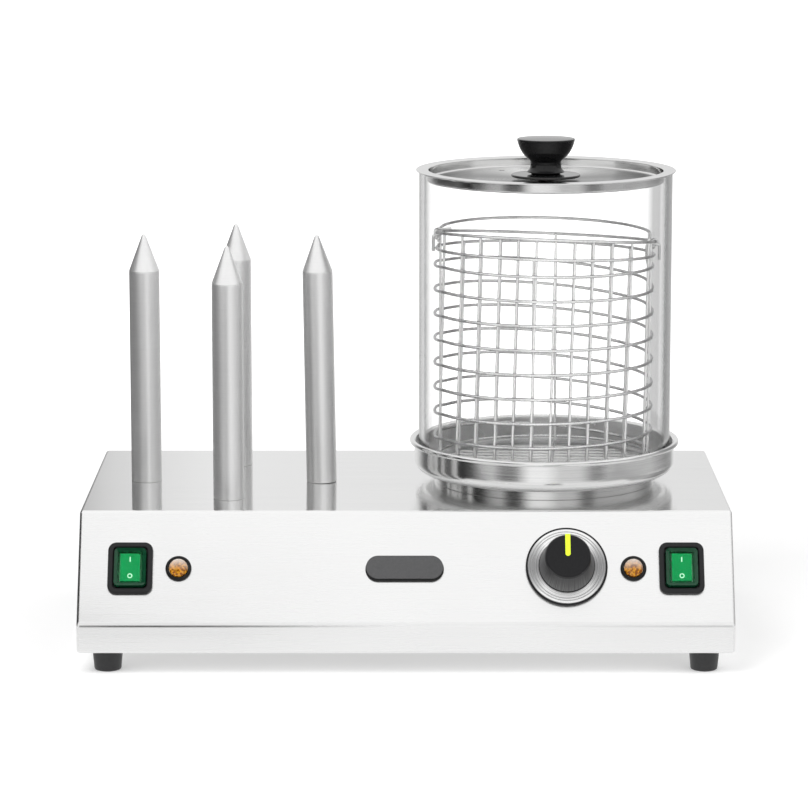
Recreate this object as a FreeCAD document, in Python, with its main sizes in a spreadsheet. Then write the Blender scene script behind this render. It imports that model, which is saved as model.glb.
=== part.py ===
import FreeCAD, Part
import math
import os
import re
import Sketcher

# Counter-top hot dog warmer: a sheet-steel console with four heated spikes on the left
# and a glass steaming cylinder with a wire basket on the right.
# Millimetres, Z up, front towards -Y, origin on the table under the middle of the outline.

doc = FreeCAD.newDocument("HotDogWarmer")
vec = FreeCAD.Vector
turn = FreeCAD.Rotation
hair = 0.01
sizes = doc.addObject("Spreadsheet::Sheet", "Sizes")
places = doc.addObject("Spreadsheet::Sheet", "Places")
homes = {}
nodes = []


def fill(sheet, table):
    """Write named cells; a formula may use every name written before it."""
    for name, content in table.items():
        row = 1 + sum(1 for home in homes.values() if home == sheet.Name)
        sheet.set("A%d" % row, name)
        sheet.set("B%d" % row, "=" + linked(content) if isinstance(content, str) else repr(content))
        sheet.setAlias("B%d" % row, name)
        homes[name] = sheet.Name
    doc.recompute()


def linked(formula):
    """Put the sheet's name before each cell name in a formula."""
    def full(match):
        word = match.group(0)
        return "<<%s>>.%s" % (homes[word], word) if word in homes else word
    return re.sub(r"[a-z][a-z_]*", full, str(formula))


def value(formula):
    result = sizes.evalExpression(linked(formula))
    return float(getattr(result, "Value", result))


def bound(item, links):
    for prop, formula in links.items():
        item.setExpression(prop, linked(formula))
    return item


def at(item, x="0", y="0", z="0"):
    return bound(item, {"Placement.Base.x": x, "Placement.Base.y": y, "Placement.Base.z": z})


def tilt(item, axis, angle):
    """Turn an item about a fixed axis by a bound angle."""
    item.Placement = FreeCAD.Placement(vec(0, 0, 0), turn(vec(*axis), 10))
    return bound(item, {"Placement.Rotation.Angle": angle})


def facing(item, x_to, y_to, z_to):
    item.Placement = FreeCAD.Placement(vec(0, 0, 0), turn(vec(*x_to), vec(*y_to), vec(*z_to), "XYZ"))
    return item


def onslope(item, x, up, out="0"):
    """Seat an item made flat on the console's leaning front."""
    tilt(item, (1, 0, 0), "slope")
    return at(item, x, "front + (%s) * cos(slope) - (%s) * sin(slope)" % (up, out),
              "fold_high + (%s) * sin(slope) + (%s) * cos(slope)" % (up, out))


def onwall(item, x, z):
    """Seat an item made flat on the back wall, its own up pointing to the rear."""
    facing(item, (1, 0, 0), (0, 0, -1), (0, 1, 0))
    return at(item, x, "back + sheet", z)


def box(name, wide, deep, high, x="0", y="0", z="0"):
    """A block centred on x and y, standing on z."""
    item = bound(doc.addObject("Part::Box", name), {"Length": wide, "Width": deep, "Height": high})
    return at(item, "%s - (%s) / 2" % (x, wide), "%s - (%s) / 2" % (y, deep), z)


def rod(name, radius, high, x="0", y="0", z="0"):
    return at(bound(doc.addObject("Part::Cylinder", name), {"Radius": radius, "Height": high}), x, y, z)


def hexagon(name, corner, high, x="0", y="0", z="0"):
    item = doc.addObject("Part::Prism", name)
    item.Polygon = 6
    return at(bound(item, {"Circumradius": corner, "Height": high}), x, y, z)


def ring(name, radius, wire, x="0", y="0", z="0", sweep=360):
    item = doc.addObject("Part::Torus", name)
    item.Angle3 = sweep
    return at(bound(item, {"Radius1": radius, "Radius2": wire}), x, y, z)


def joined(name, items):
    if len(items) == 1:
        return items[0]
    item = doc.addObject("Part::MultiFuse", name)
    item.Shapes = items
    return item


def grouped(name, items):
    """Separate solids of one node."""
    item = doc.addObject("Part::Compound", name)
    item.Links = items
    return item


def cut(name, base, tools):
    item = doc.addObject("Part::Cut", name)
    item.Base = base
    item.Tool = joined(name + "Tools", tools)
    return item


def outline(body, role, points, lift=None):
    """A closed run of straight edges, every corner dimensioned from the origin."""
    sketch = body.newObject("Sketcher::SketchObject", body.Name + "Outline")
    plane = [item for item in body.Origin.OriginFeatures if item.Role == role][0]
    sketch.AttachmentSupport = [(plane, "")]
    sketch.MapMode = "FlatFace"
    if lift:
        sketch.setExpression("AttachmentOffset.Base.z", linked(lift))
    corners = [vec(value(a), value(b), 0) for a, b in points]
    count = len(corners)
    for k in range(count):
        sketch.addGeometry(Part.LineSegment(corners[k], corners[(k + 1) % count]), False)
    for k in range(count):
        sketch.addConstraint(Sketcher.Constraint("Coincident", k, 2, (k + 1) % count, 1))
    for k, pair in enumerate(points):
        for kind, axis, formula in zip(("DistanceX", "DistanceY"), (-2, -1), pair):
            if str(formula) == "0":
                sketch.addConstraint(Sketcher.Constraint("PointOnObject", k, 1, axis))
                continue
            index = sketch.addConstraint(Sketcher.Constraint(kind, -1, 1, k, 1, value(formula)))
            sketch.setExpression("Constraints[%d]" % index, linked(formula))
    return sketch


def turned(name, points):
    """A body turned about its own upright axis from (radius, height) corners."""
    body = doc.addObject("PartDesign::Body", name)
    sketch = outline(body, "XZ_Plane", points)
    spin = body.newObject("PartDesign::Revolution", name + "Turn")
    spin.Profile = sketch
    spin.ReferenceAxis = (sketch, ["V_Axis"])
    spin.Angle = 360
    doc.recompute()
    return body


def drawn(name, role, points, long, lift=None, both=False):
    """A body pushed out of one of the origin planes."""
    body = doc.addObject("PartDesign::Body", name)
    pad = body.newObject("PartDesign::Pad", name + "Pad")
    pad.Profile = outline(body, role, points, lift)
    pad.Midplane = both
    bound(pad, {"Length": long})
    doc.recompute()
    return body


def rounded(body, radius, chosen):
    """Round the edges of a body for which chosen(edge) holds."""
    last = body.Tip
    picks = ["Edge%d" % (k + 1) for k, edge in enumerate(last.Shape.Edges) if chosen(edge)]
    item = body.newObject("PartDesign::Fillet", body.Name + "Round%d" % len(body.Group))
    item.Base = (last, picks)
    bound(item, {"Radius": radius})
    doc.recompute()
    return body


def upright(edge):
    box_of = edge.BoundBox
    return box_of.ZLength > hair and box_of.XLength < hair and box_of.YLength < hair


def circle_at(radius, height):
    """Pick the round edge of that radius at that height."""
    def chosen(edge):
        near = abs(edge.BoundBox.ZMax - value(height)) < hair and edge.BoundBox.ZLength < hair
        return near and abs(edge.BoundBox.XMax - value(radius)) < hair
    return chosen


def slab(name, wide, tall, low, high, corner=None):
    """A flat plate centred on the origin with rounded upright corners."""
    half = ("(%s) / 2" % wide, "(%s) / 2" % tall)
    points = [("-" + half[0], "-" + half[1]), (half[0], "-" + half[1]), half, ("-" + half[0], half[1])]
    body = drawn(name, "XY_Plane", points, "(%s) - (%s)" % (high, low), low)
    return rounded(body, corner, upright) if corner else body


def node(item, label):
    item.Label = label
    nodes.append(item)
    return item


# Housing

housing_sizes = {
    "body_wide": 500.0,
    "body_deep": 295.0,
    "gland_reach": 14.0,
    "foot_high": 17.0,
    "fold_high": 39.6,
    "deck_high": 118.2,
    "slope_run": 46.8,
    "sheet": 1.2,
    "bend_round": 2.4,
    "side_flange": 40.0,
    "back_flange": 22.0,
    "plate_gap": 2.0,
    "opening_sill": 13.0,
    "opening_head": 16.2,
    "panel_inset": 10.0,
    "panel_sill": 3.0,
    "panel_head": 3.2,
    "back_corner": 4.0,
    "vent_wide": 3.0,
    "vent_tall": 42.0,
    "vent_pitch": 9.0,
    "vent_up": 51.0,
    "vent_apart": 120.0,
    "screw_shank": 2.0,
    "screw_head": 4.0,
    "screw_head_high": 2.0,
    "screw_gap": 0.2,
    "screw_reach": 6.0,
    "base_screw_inset": 18.0,
    "base_screw_in": 67.5,
    "back_screw_inset": 16.0,
    "back_screw_mid": 80.0,
    "back_screw_sill": 5.0,
    "back_screw_head": 6.0,
    "foot_inset": 22.0,
    "foot_in": 21.5,
    "foot_top": 12.0,
    "foot_low": 10.4,
    "foot_round": 1.6,
    "foot_well": 5.5,
    "foot_well_high": 7.0,
    "foot_nut": 4.2,
    "foot_nut_high": 3.2,
}
fill(sizes, housing_sizes)
fill(places, {
    "slope": "atan2(deck_high - fold_high; slope_run)",
    "shelf": "foot_high + sheet",
    "plate_top": "shelf + sheet",
    "inner_fold": "fold_high - sheet * (1 - sin(slope)) / cos(slope)",
    "inner_run": "slope_run + sheet * (1 - cos(slope)) / sin(slope)",
    "foot_x": "body_wide / 2 - foot_inset",
    "foot_y": "body_deep / 2 - foot_in",
    "back_opening_low": "foot_high + opening_sill",
    "back_opening_high": "deck_high - opening_head",
    "back_panel_wide": "body_wide - 2 * panel_inset",
    "back_panel_low": "foot_high + panel_sill",
    "back_panel_high": "deck_high - panel_head",
    "vent_mid": "foot_high + vent_up",
    "base_screw_x": "body_wide / 2 - base_screw_inset",
    "base_screw_y": "body_deep / 2 - base_screw_in",
    "back_screw_x": "body_wide / 2 - back_screw_inset",
    "back_screw_low": "back_panel_low + back_screw_sill",
    "back_screw_high": "back_panel_high - back_screw_head",
})

# Controls on the slope: x across, up along the slope from the fold, out from the sheet

controls_sizes = {
    "row_up": 44.6,
    "switch_inset": 40.0,
    "bezel_wide": 34.2,
    "bezel_tall": 40.8,
    "bezel_out": 3.5,
    "bezel_corner": 4.0,
    "bezel_edge": 1.0,
    "boot_wide": 25.0,
    "boot_tall": 30.8,
    "boot_out": 5.8,
    "boot_wall": 0.8,
    "boot_corner": 3.2,
    "boot_edge": 1.2,
    "boot_gap": 0.3,
    "rocker_wide": 15.2,
    "rocker_half": 10.7,
    "rocker_face": 3.2,
    "rocker_swing": 8.0,
    "rocker_deep": 4.5,
    "rocker_foot": 3.0,
    "rocker_thick": 5.0,
    "pivot_in": 1.0,
    "pivot_radius": 1.5,
    "pivot_reach": 1.4,
    "pivot_gap": 0.06,
    "well_gap": 0.6,
    "well_ends": 1.5,
    "well_deep": 8.0,
    "switch_body_wide": 26.0,
    "switch_body_tall": 32.4,
    "switch_body_deep": 22.0,
    "window_gap": 0.3,
    "blade_wide": 6.3,
    "blade_thick": 0.8,
    "blade_long": 9.0,
    "blade_apart": 9.0,
    "lamp_inset": 76.7,
    "lamp_ring": 9.95,
    "lamp_ring_out": 2.6,
    "lamp_ring_edge": 1.0,
    "lens_radius": 7.25,
    "lens_side": 2.4,
    "lens_out": 6.1,
    "lens_gap": 0.15,
    "lamp_body": 6.1,
    "lamp_body_deep": 20.0,
    "lamp_clip": 8.2,
    "lamp_clip_thick": 2.4,
    "badge_x": -1.0,
    "badge_wide": 59.4,
    "badge_tall": 19.6,
    "badge_thick": 2.0,
    "badge_edge": 0.5,
    "badge_flat": 0.01,
    "dial_inset": 127.6,
    "dial_up": 45.7,
    "dial_base_radius": 31.0,
    "dial_base_thick": 2.0,
    "dial_ring_radius": 29.45,
    "dial_ring_in": 18.0,
    "dial_ring_thick": 1.0,
    "groove_mid": 25.6,
    "groove_half": 0.6,
    "groove_deep": 0.35,
    "dial_edge": 0.4,
    "knob_gap": 0.5,
    "knob_radius": 21.4,
    "knob_high": 24.1,
    "knob_skirt": 1.2,
    "knob_neck": 18.2,
    "knob_face": 17.25,
    "knob_step_high": 2.4,
    "knob_recess_gap": 2.4,
    "knob_recess_high": 5.5,
    "knob_roof": 5.6,
    "shaft_radius": 3.0,
    "shaft_gap": 0.05,
    "shaft_in": 8.0,
    "shaft_end_gap": 0.2,
    "pointer_wide": 3.9,
    "pointer_thick": 0.4,
    "pointer_start": 0.4,
    "pointer_over": 0.5,
    "bush_radius": 5.0,
    "bush_out": 5.2,
    "bush_gap": 0.2,
    "nut_corner": 8.1,
    "nut_well_gap": 0.5,
    "nut_high": 2.8,
    "can_radius": 17.0,
    "can_deep": 28.0,
    "can_top": 6.0,
    "can_flange": 14.0,
}
fill(sizes, controls_sizes)
fill(places, {
    "switch_x": "body_wide / 2 - switch_inset",
    "lamp_x": "body_wide / 2 - lamp_inset",
    "dial_x": "body_wide / 2 - dial_inset",
    "nut_well": "nut_corner + nut_well_gap",
    "knob_recess": "nut_corner + knob_recess_gap",
    "bezel_in_wide": "boot_wide + 2 * boot_gap",
    "bezel_in_tall": "boot_tall + 2 * boot_gap",
    "rocker_rise": "rocker_half * tan(rocker_swing)",
    "knob_low": "dial_base_thick + dial_ring_thick + knob_gap",
    "knob_top": "knob_low + knob_high",
    "dial_face": "dial_base_thick + dial_ring_thick",
    "knob_reach": "(knob_top - dial_edge) * sin(slope) - (dial_up - knob_face + dial_edge) * cos(slope) + dial_edge",
    "front": "knob_reach - (knob_reach + body_deep + gland_reach) / 2",
    "back": "front + body_deep",
    "house_mid": "front + body_deep / 2",
})

# Heated spikes on the deck

spikes_and_studs_sizes = {
    "spike_radius": 12.0,
    "spike_bore": 6.4,
    "left_inset": 42.9,
    "left_in": 166.8,
    "front_inset": 111.9,
    "front_in": 95.6,
    "back_inset": 112.7,
    "back_in": 233.2,
    "right_inset": 182.8,
    "right_in": 162.7,
    "right_lean": 0.9,
    "lean_lift": 0.2,
    "spike_tube": 169.3,
    "spike_whole": 198.3,
    "spike_point": 1.7,
    "spike_point_high": 1.4,
    "bore_cap": 19.3,
    "neck_radius": 8.0,
    "neck_long": 13.0,
    "neck_gap": 0.4,
    "washer_radius": 12.5,
    "washer_thick": 1.0,
    "washer_gap": 0.3,
    "spike_nut": 13.0,
    "spike_nut_high": 6.0,
    "thread_gap": 0.1,
    "heater_gap": 0.2,
    "heater_short": 10.0,
    "heater_low": 17.0,
}
fill(sizes, spikes_and_studs_sizes)
fill(places, {
    "left_x": "left_inset - body_wide / 2",
    "front_x": "front_inset - body_wide / 2",
    "back_x": "back_inset - body_wide / 2",
    "right_x": "right_inset - body_wide / 2",
    "bore_top": "spike_tube - bore_cap",
    "heater_top": "bore_top - heater_short",
    "heater_radius": "spike_bore - heater_gap",
})

# Heater, water pan, glass and lid about one upright axis

tower_sizes = {
    "axis_inset": 139.54,
    "axis_in": 173.67,
    "collar_in": 15.8,
    "collar_wall": 1.5,
    "collar_high": 7.9,
    "collar_flange": 7.7,
    "opening_gap": 2.0,
    "hot_plate_gap": 2.2,
    "element_radius": 55.0,
    "element_wire": 4.0,
    "element_sweep": 340.0,
    "element_leg": 16.0,
    "cutout_radius": 8.0,
    "cutout_high": 10.0,
    "cutout_blade": 6.0,
    "pan_gap": 0.1,
    "pan_wall": 1.2,
    "pan_radius": 103.5,
    "pan_round": 9.0,
    "pan_high": 24.8,
    "bead_out": 1.75,
    "bead_wire": 2.1,
    "bead_drop": 1.0,
    "glass_gap": 2.15,
    "glass_wall": 4.0,
    "glass_seat": 2.7,
    "glass_high": 235.9,
    "glass_edge": 0.9,
    "lid_over": 2.55,
    "lid_thick": 1.0,
    "lid_gap": 0.1,
    "dish_gap": 2.65,
    "dish_deep": 8.2,
    "dish_round": 2.0,
    "vent_x": -32.8,
    "vent_y": 64.5,
    "vent_radius": 2.4,
    "lid_screw": 2.5,
    "lid_screw_gap": 0.1,
    "lid_screw_head": 5.0,
    "lid_screw_head_high": 2.0,
    "lid_screw_long": 20.0,
    "lid_hole_gap": 0.3,
    "disc_foot": 14.0,
    "disc_up": 2.3,
    "disc_radius": 27.4,
    "disc_thick": 2.1,
    "stub_radius": 11.6,
    "stub_high": 0.9,
    "flare_radius": 14.8,
    "flare_up": 2.0,
    "waist_radius": 12.2,
    "waist_long": 5.2,
    "waist_up": 8.4,
    "belly_radius": 17.1,
    "belly_up": 5.0,
    "shoulder_radius": 20.1,
    "shoulder_up": 5.4,
    "cap_radius": 22.9,
    "cap_up": 5.2,
    "cap_edge": 1.0,
    "cap_thick": 2.9,
    "cap_dish": 0.8,
}
fill(sizes, tower_sizes)
fill(places, {
    "axis_x": "body_wide / 2 - axis_inset",
    "axis_y": "front + axis_in",
    "collar_radius": "pan_radius - collar_in",
    "collar_top": "deck_high + collar_high",
    "collar_ledge": "deck_high + sheet",
    "deck_opening": "collar_radius - collar_flange - opening_gap",
    "plate_radius": "collar_radius - collar_wall - hot_plate_gap",
    "pan_low": "collar_top + pan_gap",
    "pan_floor": "pan_low + pan_wall",
    "pan_top": "pan_low + pan_high",
    "bead_mid": "pan_radius + bead_out",
    "bead_high": "pan_top - bead_drop",
    "glass_radius": "pan_radius - pan_wall - glass_gap",
    "glass_inside": "glass_radius - glass_wall",
    "glass_low": "pan_floor + glass_seat",
    "glass_top": "glass_low + glass_high",
    "lid_radius": "glass_radius + lid_over",
    "lid_low": "glass_top + lid_gap",
    "lid_top": "lid_low + lid_thick",
    "dish_radius": "glass_inside - dish_gap",
    "dish_low": "lid_low - dish_deep",
    "dish_floor": "dish_low + lid_thick",
    "disc_low": "dish_floor + disc_up",
    "disc_top": "disc_low + disc_thick",
    "flare_high": "disc_top + flare_up",
    "waist_high": "flare_high + waist_up",
    "belly_high": "waist_high + belly_up",
    "shoulder_high": "belly_high + shoulder_up",
    "cap_low": "shoulder_high + cap_up",
    "cap_top": "cap_low + cap_thick",
})

# Wire basket: rings outside the uprights, its back half lying lower towards the seam at the right

basket_sizes = {
    "wire": 1.05,
    "bend_over": 0.06,
    "cage_gap": 8.9,
    "cage_turn": 2.28,
    "wire_first_in": 1.8,
    "wire_last_in": 22.4,
    "front_lean": 4.4,
    "back_left_in": 0.5,
    "back_first_in": 14.2,
    "back_last_in": 19.33,
    "back_lean": 3.85,
    "back_odd_shift": 3.9,
    "seam_one_in": 6.0,
    "seam_one_top_in": 3.6,
    "seam_two_in": 2.96,
    "seam_two_top_in": 1.26,
    "top_up": 11.2,
    "top_rise": 5.4,
    "top_fall": 2.4,
    "hoop_up": 9.5,
    "hoop_rise": 2.5,
    "hoop_fall": 1.6,
    "ring_low_up": 21.59,
    "ring_pitch": 19.13,
    "ring_rise": 1.26,
    "ring_fall_step": 0.266,
    "back_low_up": 9.65,
    "back_ring_pitch": 19.5,
    "back_fall": 3.9,
    "back_fall_step": 0.107,
    "base_ring_up": 4.55,
    "foot_ring": 60.0,
    "foot_ring_gap": 0.3,
    "cross_end_in": 12.1,
    "bail_in": 3.2,
    "bail_up": 7.5,
    "bail_fall": 1.2,
    "left_pin": 5.6,
    "right_pin": 8.0,
    "hook_long": 12.5,
    "ear_radius": 2.6,
}
fill(sizes, basket_sizes)
upright_count = 11
ring_count = 8
cross_half = 6
fill(places, {
    "ring_mid": "glass_inside - cage_gap - wire",
    "upright_mid": "ring_mid - 2 * wire",
    "bail_mid": "ring_mid - bail_in",
    "wire_first": "wire_first_in - upright_mid",
    "wire_pitch": "(2 * upright_mid - wire_first_in - wire_last_in) / %d" % (upright_count - 1),
    "back_left": "back_left_in - upright_mid",
    "back_first": "back_first_in - upright_mid",
    "back_pitch": "(2 * upright_mid - back_first_in - back_last_in) / %d" % (upright_count - 2),
    "cross_pitch": "(upright_mid - cross_end_in) / %d" % cross_half,
    "seam_low_one": "upright_mid - seam_one_in",
    "seam_top_one": "upright_mid - seam_one_top_in",
    "seam_low_two": "upright_mid - seam_two_in",
    "seam_top_two": "upright_mid - seam_two_top_in",
    "foot_ring_high": "pan_floor + foot_ring_gap + wire",
    "cross_high": "foot_ring_high + 2 * wire",
    "long_high": "cross_high + 2 * wire",
    "base_ring": "long_high + base_ring_up",
    "ring_low": "base_ring + ring_low_up",
    "back_low": "base_ring + back_low_up",
    "hoop_mid": "ring_low + %d * ring_pitch + hoop_up" % (ring_count - 1),
    "top_mid": "hoop_mid + top_up",
    "bail_high": "top_mid - ear_radius",
    "bow_high": "bail_high + bail_up",
})

# Entry of the mains cord at the back and its terminals

cord_entry_sizes = {
    "gland_inset": 60.0,
    "gland_up": 45.0,
    "gland_thread": 7.8,
    "gland_gap": 0.2,
    "gland_hex": 11.5,
    "gland_hex_high": 5.0,
    "gland_dome": 9.6,
    "gland_dome_top": 7.4,
    "gland_bore": 4.2,
    "gland_in": 10.0,
    "gland_nut_high": 5.0,
    "block_wide": 48.0,
    "block_deep": 18.0,
    "block_high": 20.0,
    "block_back": 70.0,
    "block_slot": 10.0,
    "block_pitch": 15.0,
    "block_screw": 3.0,
}
fill(sizes, cord_entry_sizes)
fill(places, {
    "gland_x": "gland_inset - body_wide / 2",
    "gland_z": "foot_high + gland_up",
})

# Housing shell: one folded sheet with welded sides, open at the bottom and the back

shell = drawn("Shell", "YZ_Plane", [
    ("front", "foot_high"), ("front", "fold_high"), ("front + slope_run", "deck_high"),
    ("back", "deck_high"), ("back", "foot_high")], "body_wide", both=True)
rounded(shell, "bend_round", lambda edge: True)
cavity = drawn("ShellCavity", "YZ_Plane", [
    ("front + sheet", "shelf"), ("front + sheet", "inner_fold"),
    ("front + inner_run", "deck_high - sheet"), ("back - sheet", "deck_high - sheet"),
    ("back - sheet", "shelf")], "body_wide - 2 * sheet", both=True)
openings = [
    cavity,
    box("BottomOpening", "body_wide - 2 * side_flange", "body_deep - side_flange - back_flange", "4 * sheet",
        "0", "house_mid + (side_flange - back_flange) / 2", "foot_high - sheet"),
    box("BackOpening", "body_wide - 2 * back_flange", "4 * sheet", "back_opening_high - back_opening_low",
        "0", "back", "back_opening_low"),
    rod("HeaterOpening", "deck_opening", "4 * sheet", "axis_x", "axis_y", "deck_high - 2 * sheet"),
]
spikes = {"left": ("left_x", "left_in"), "front": ("front_x", "front_in"),
          "back": ("back_x", "back_in"), "right": ("right_x", "right_in")}
for side, (x, inward) in spikes.items():
    openings.append(rod("SpikeHole" + side, "neck_radius + neck_gap", "4 * sheet",
                        x, "front + " + inward, "deck_high - 2 * sheet"))
for side, sign in (("left", "-"), ("right", "")):
    window = slab("Window" + side, "switch_body_wide + 2 * window_gap", "switch_body_tall + 2 * window_gap",
                  "-2 * sheet", "2 * sheet")
    openings.append(onslope(window, sign + "switch_x", "row_up"))
    hole = rod("LampHole" + side, "lamp_body + bush_gap", "4 * sheet")
    openings.append(onslope(hole, sign + "lamp_x", "row_up", "-2 * sheet"))
hole = rod("DialHole", "bush_radius + bush_gap", "4 * sheet")
openings.append(onslope(hole, "dial_x", "dial_up", "-2 * sheet"))


def base_screw_places():
    for x in ("-base_screw_x", "base_screw_x"):
        for step in (-1, 0, 1):
            yield x, "house_mid + %d * base_screw_y" % step


def foot_places():
    for x in ("-foot_x", "foot_x"):
        for sign in ("-", "+"):
            yield x, "house_mid %s foot_y" % sign


def back_screw_places():
    for x in ("-back_screw_x", "-back_screw_mid", "back_screw_mid", "back_screw_x"):
        for z in ("back_screw_low", "back_screw_high"):
            yield x, z


def base_holes(name):
    found = []
    for k, (x, y) in enumerate(list(base_screw_places()) + list(foot_places())):
        found.append(rod("%s%d" % (name, k), "screw_shank + screw_gap", "6 * sheet", x, y, "foot_high - sheet"))
    return found


def back_holes(name):
    found = []
    for k, (x, z) in enumerate(back_screw_places()):
        hole = rod("%s%d" % (name, k), "screw_shank + screw_gap", "8 * sheet")
        facing(hole, (1, 0, 0), (0, 0, -1), (0, 1, 0))
        found.append(at(hole, x, "back - 4 * sheet", z))
    return found


node(cut("HousingShell", shell, openings + base_holes("ShellHole") + back_holes("ShellBackHole")),
     "housing_shell")

plate = box("BasePlateSheet", "body_wide - 2 * (sheet + plate_gap)", "body_deep - 2 * (sheet + plate_gap)",
            "sheet", "0", "house_mid", "shelf")
node(cut("BasePlate", plate, base_holes("PlateHole")), "base_plate")

panel = drawn("BackPanelSheet", "XZ_Plane", [
    ("-back_panel_wide / 2", "back_panel_low"), ("back_panel_wide / 2", "back_panel_low"),
    ("back_panel_wide / 2", "back_panel_high"), ("-back_panel_wide / 2", "back_panel_high")],
    "sheet", "-(back + sheet)")


def along_y(edge):
    size = edge.BoundBox
    return size.YLength > hair and size.XLength < hair and size.ZLength < hair


rounded(panel, "back_corner", along_y)
slots = []
for group in (-1, 1):
    for k in range(-6, 7):
        slots.append(box("Vent%d_%d" % (group + 1, k + 6), "vent_wide", "6 * sheet", "vent_tall",
                         "%d * vent_apart + %d * vent_pitch" % (group, k), "back", "vent_mid - vent_tall / 2"))
hole = rod("GlandHole", "gland_thread + gland_gap", "8 * sheet")
facing(hole, (1, 0, 0), (0, 0, -1), (0, 1, 0))
slots.append(at(hole, "gland_x", "back - 4 * sheet", "gland_z"))
node(cut("BackPanel", panel, slots + back_holes("PanelHole")), "rear_panel")

screws = []
for k, (x, y) in enumerate(base_screw_places()):
    head = rod("BaseHead%d" % k, "screw_head", "screw_head_high", x, y, "foot_high - screw_head_high")
    shank = rod("BaseShank%d" % k, "screw_shank", "2 * sheet + screw_reach", x, y, "foot_high")
    screws.append(joined("BaseScrew%d" % k, [head, shank]))
node(grouped("BaseScrews", screws), "base_screws")

screws = []
for k, (x, z) in enumerate(back_screw_places()):
    head = rod("BackHead%d" % k, "screw_head", "screw_head_high")
    shank = rod("BackShank%d" % k, "screw_shank", "2 * sheet + screw_reach", z="-(2 * sheet + screw_reach)")
    screws.append(onwall(joined("BackScrew%d" % k, [head, shank]), x, z))
node(grouped("BackScrews", screws), "rear_screws")

feet = []
bolts = []
for k, (x, y) in enumerate(foot_places()):
    cone = turned("FootCone%d" % k, [
        ("screw_shank + screw_gap", "foot_well_high"), ("foot_well", "foot_well_high"), ("foot_well", "0"),
        ("foot_low", "0"), ("foot_top", "foot_high"), ("screw_shank + screw_gap", "foot_high")])
    rounded(cone, "foot_round", circle_at("foot_low", "0"))
    feet.append(at(cone, x, y))
    head = rod("FootHead%d" % k, "screw_head", "screw_head_high", x, y, "foot_well_high - screw_head_high")
    shank = rod("FootShank%d" % k, "screw_shank", "plate_top + screw_reach - foot_well_high", x, y,
                "foot_well_high")
    nut = hexagon("FootNut%d" % k, "foot_nut", "foot_nut_high", x, y, "plate_top")
    bolts.append(joined("FootScrew%d" % k, [head, shank, nut]))
node(grouped("RubberFeet", feet), "rubber_feet")
node(grouped("FootScrews", bolts), "foot_screws")

# Spikes, each a thick tube closed by a cone, with a hollow threaded neck through the deck

nuts = []
heaters = []
for side, (x, inward) in spikes.items():
    y = "front + " + inward
    lean = "-right_lean" if side == "right" else "0"
    lift = "lean_lift" if side == "right" else "0"
    spike = turned("Spike" + side, [
        ("spike_bore", "-neck_long"), ("neck_radius", "-neck_long"), ("neck_radius", "0"),
        ("spike_radius", "0"), ("spike_radius", "spike_tube"),
        ("spike_point", "spike_whole - spike_point_high"),
        ("spike_point / 2", "spike_whole - spike_point_high / 4"),
        ("0", "spike_whole"), ("0", "bore_top"), ("spike_bore", "bore_top")])
    tilt(spike, (0, 1, 0), lean)
    node(at(spike, x, y, "deck_high + " + lift), side + "_spike")
    washer = rod("Washer" + side, "washer_radius", "washer_thick", z="-sheet - washer_gap - washer_thick")
    nut = hexagon("SpikeNut" + side, "spike_nut", "spike_nut_high",
                  z="-sheet - washer_gap - washer_thick - spike_nut_high")
    bore = rod("NutBore" + side, "neck_radius + thread_gap", "2 * neck_long", z="-2 * neck_long")
    nut = cut("NutSet" + side, joined("NutWasher" + side, [washer, nut]), [bore])
    tilt(nut, (0, 1, 0), lean)
    nuts.append(at(nut, x, y, "deck_high"))
    heater = rod("Heater" + side, "heater_radius", "heater_low + heater_top")
    tilt(heater, (0, 1, 0), lean)
    at(heater, "%s - heater_low * sin(%s)" % (x, lean), y, "deck_high - heater_low")
    heaters.append(heater)
node(grouped("SpikeNuts", nuts), "spike_nuts")
node(grouped("SpikeHeaters", heaters), "spike_heaters")

# Heater under the pan

collar = turned("Collar", [
    ("collar_radius - collar_flange", "deck_high"), ("collar_radius", "deck_high"),
    ("collar_radius", "collar_top"), ("collar_radius - collar_wall", "collar_top"),
    ("collar_radius - collar_wall", "collar_ledge"), ("collar_radius - collar_flange", "collar_ledge")])
node(at(collar, "axis_x", "axis_y"), "heater_collar")
node(rod("HeatingPlate", "plate_radius", "collar_top - collar_ledge", "axis_x", "axis_y", "collar_ledge"),
     "heating_plate")
element = ring("ElementLoop", "element_radius", "element_wire", z="collar_ledge - element_wire")
bound(element, {"Angle3": "element_sweep"})
legs = [rod("ElementLeg0", "element_wire", "element_leg", "element_radius", "0",
            "collar_ledge - element_wire - element_leg"),
        rod("ElementLeg1", "element_wire", "element_leg", "element_radius * cos(element_sweep)",
            "element_radius * sin(element_sweep)", "collar_ledge - element_wire - element_leg")]
node(at(joined("PlateElement", [element] + legs), "axis_x", "axis_y"), "plate_element")
can = rod("CutoutCan", "cutout_radius", "cutout_high", "axis_x", "axis_y", "collar_ledge - cutout_high")
blades = [box("CutoutBlade%d" % k, "blade_thick", "blade_wide", "cutout_blade",
              "axis_x + %d * cutout_radius / 2" % k, "axis_y", "collar_ledge - cutout_high - cutout_blade")
          for k in (-1, 1)]
node(joined("OverheatCutout", [can] + blades), "overheat_cutout")

pan = turned("PanShell", [
    ("0", "pan_low"), ("pan_radius", "pan_low"), ("pan_radius", "pan_top"),
    ("pan_radius - pan_wall", "pan_top"), ("pan_radius - pan_wall", "pan_floor"), ("0", "pan_floor")])
rounded(pan, "pan_round", circle_at("pan_radius", "pan_low"))
rounded(pan, "pan_round - pan_wall", circle_at("pan_radius - pan_wall", "pan_floor"))
bead = ring("PanBead", "bead_mid", "bead_wire", z="bead_high")
node(at(joined("WaterPan", [pan, bead]), "axis_x", "axis_y"), "water_pan")

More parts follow.
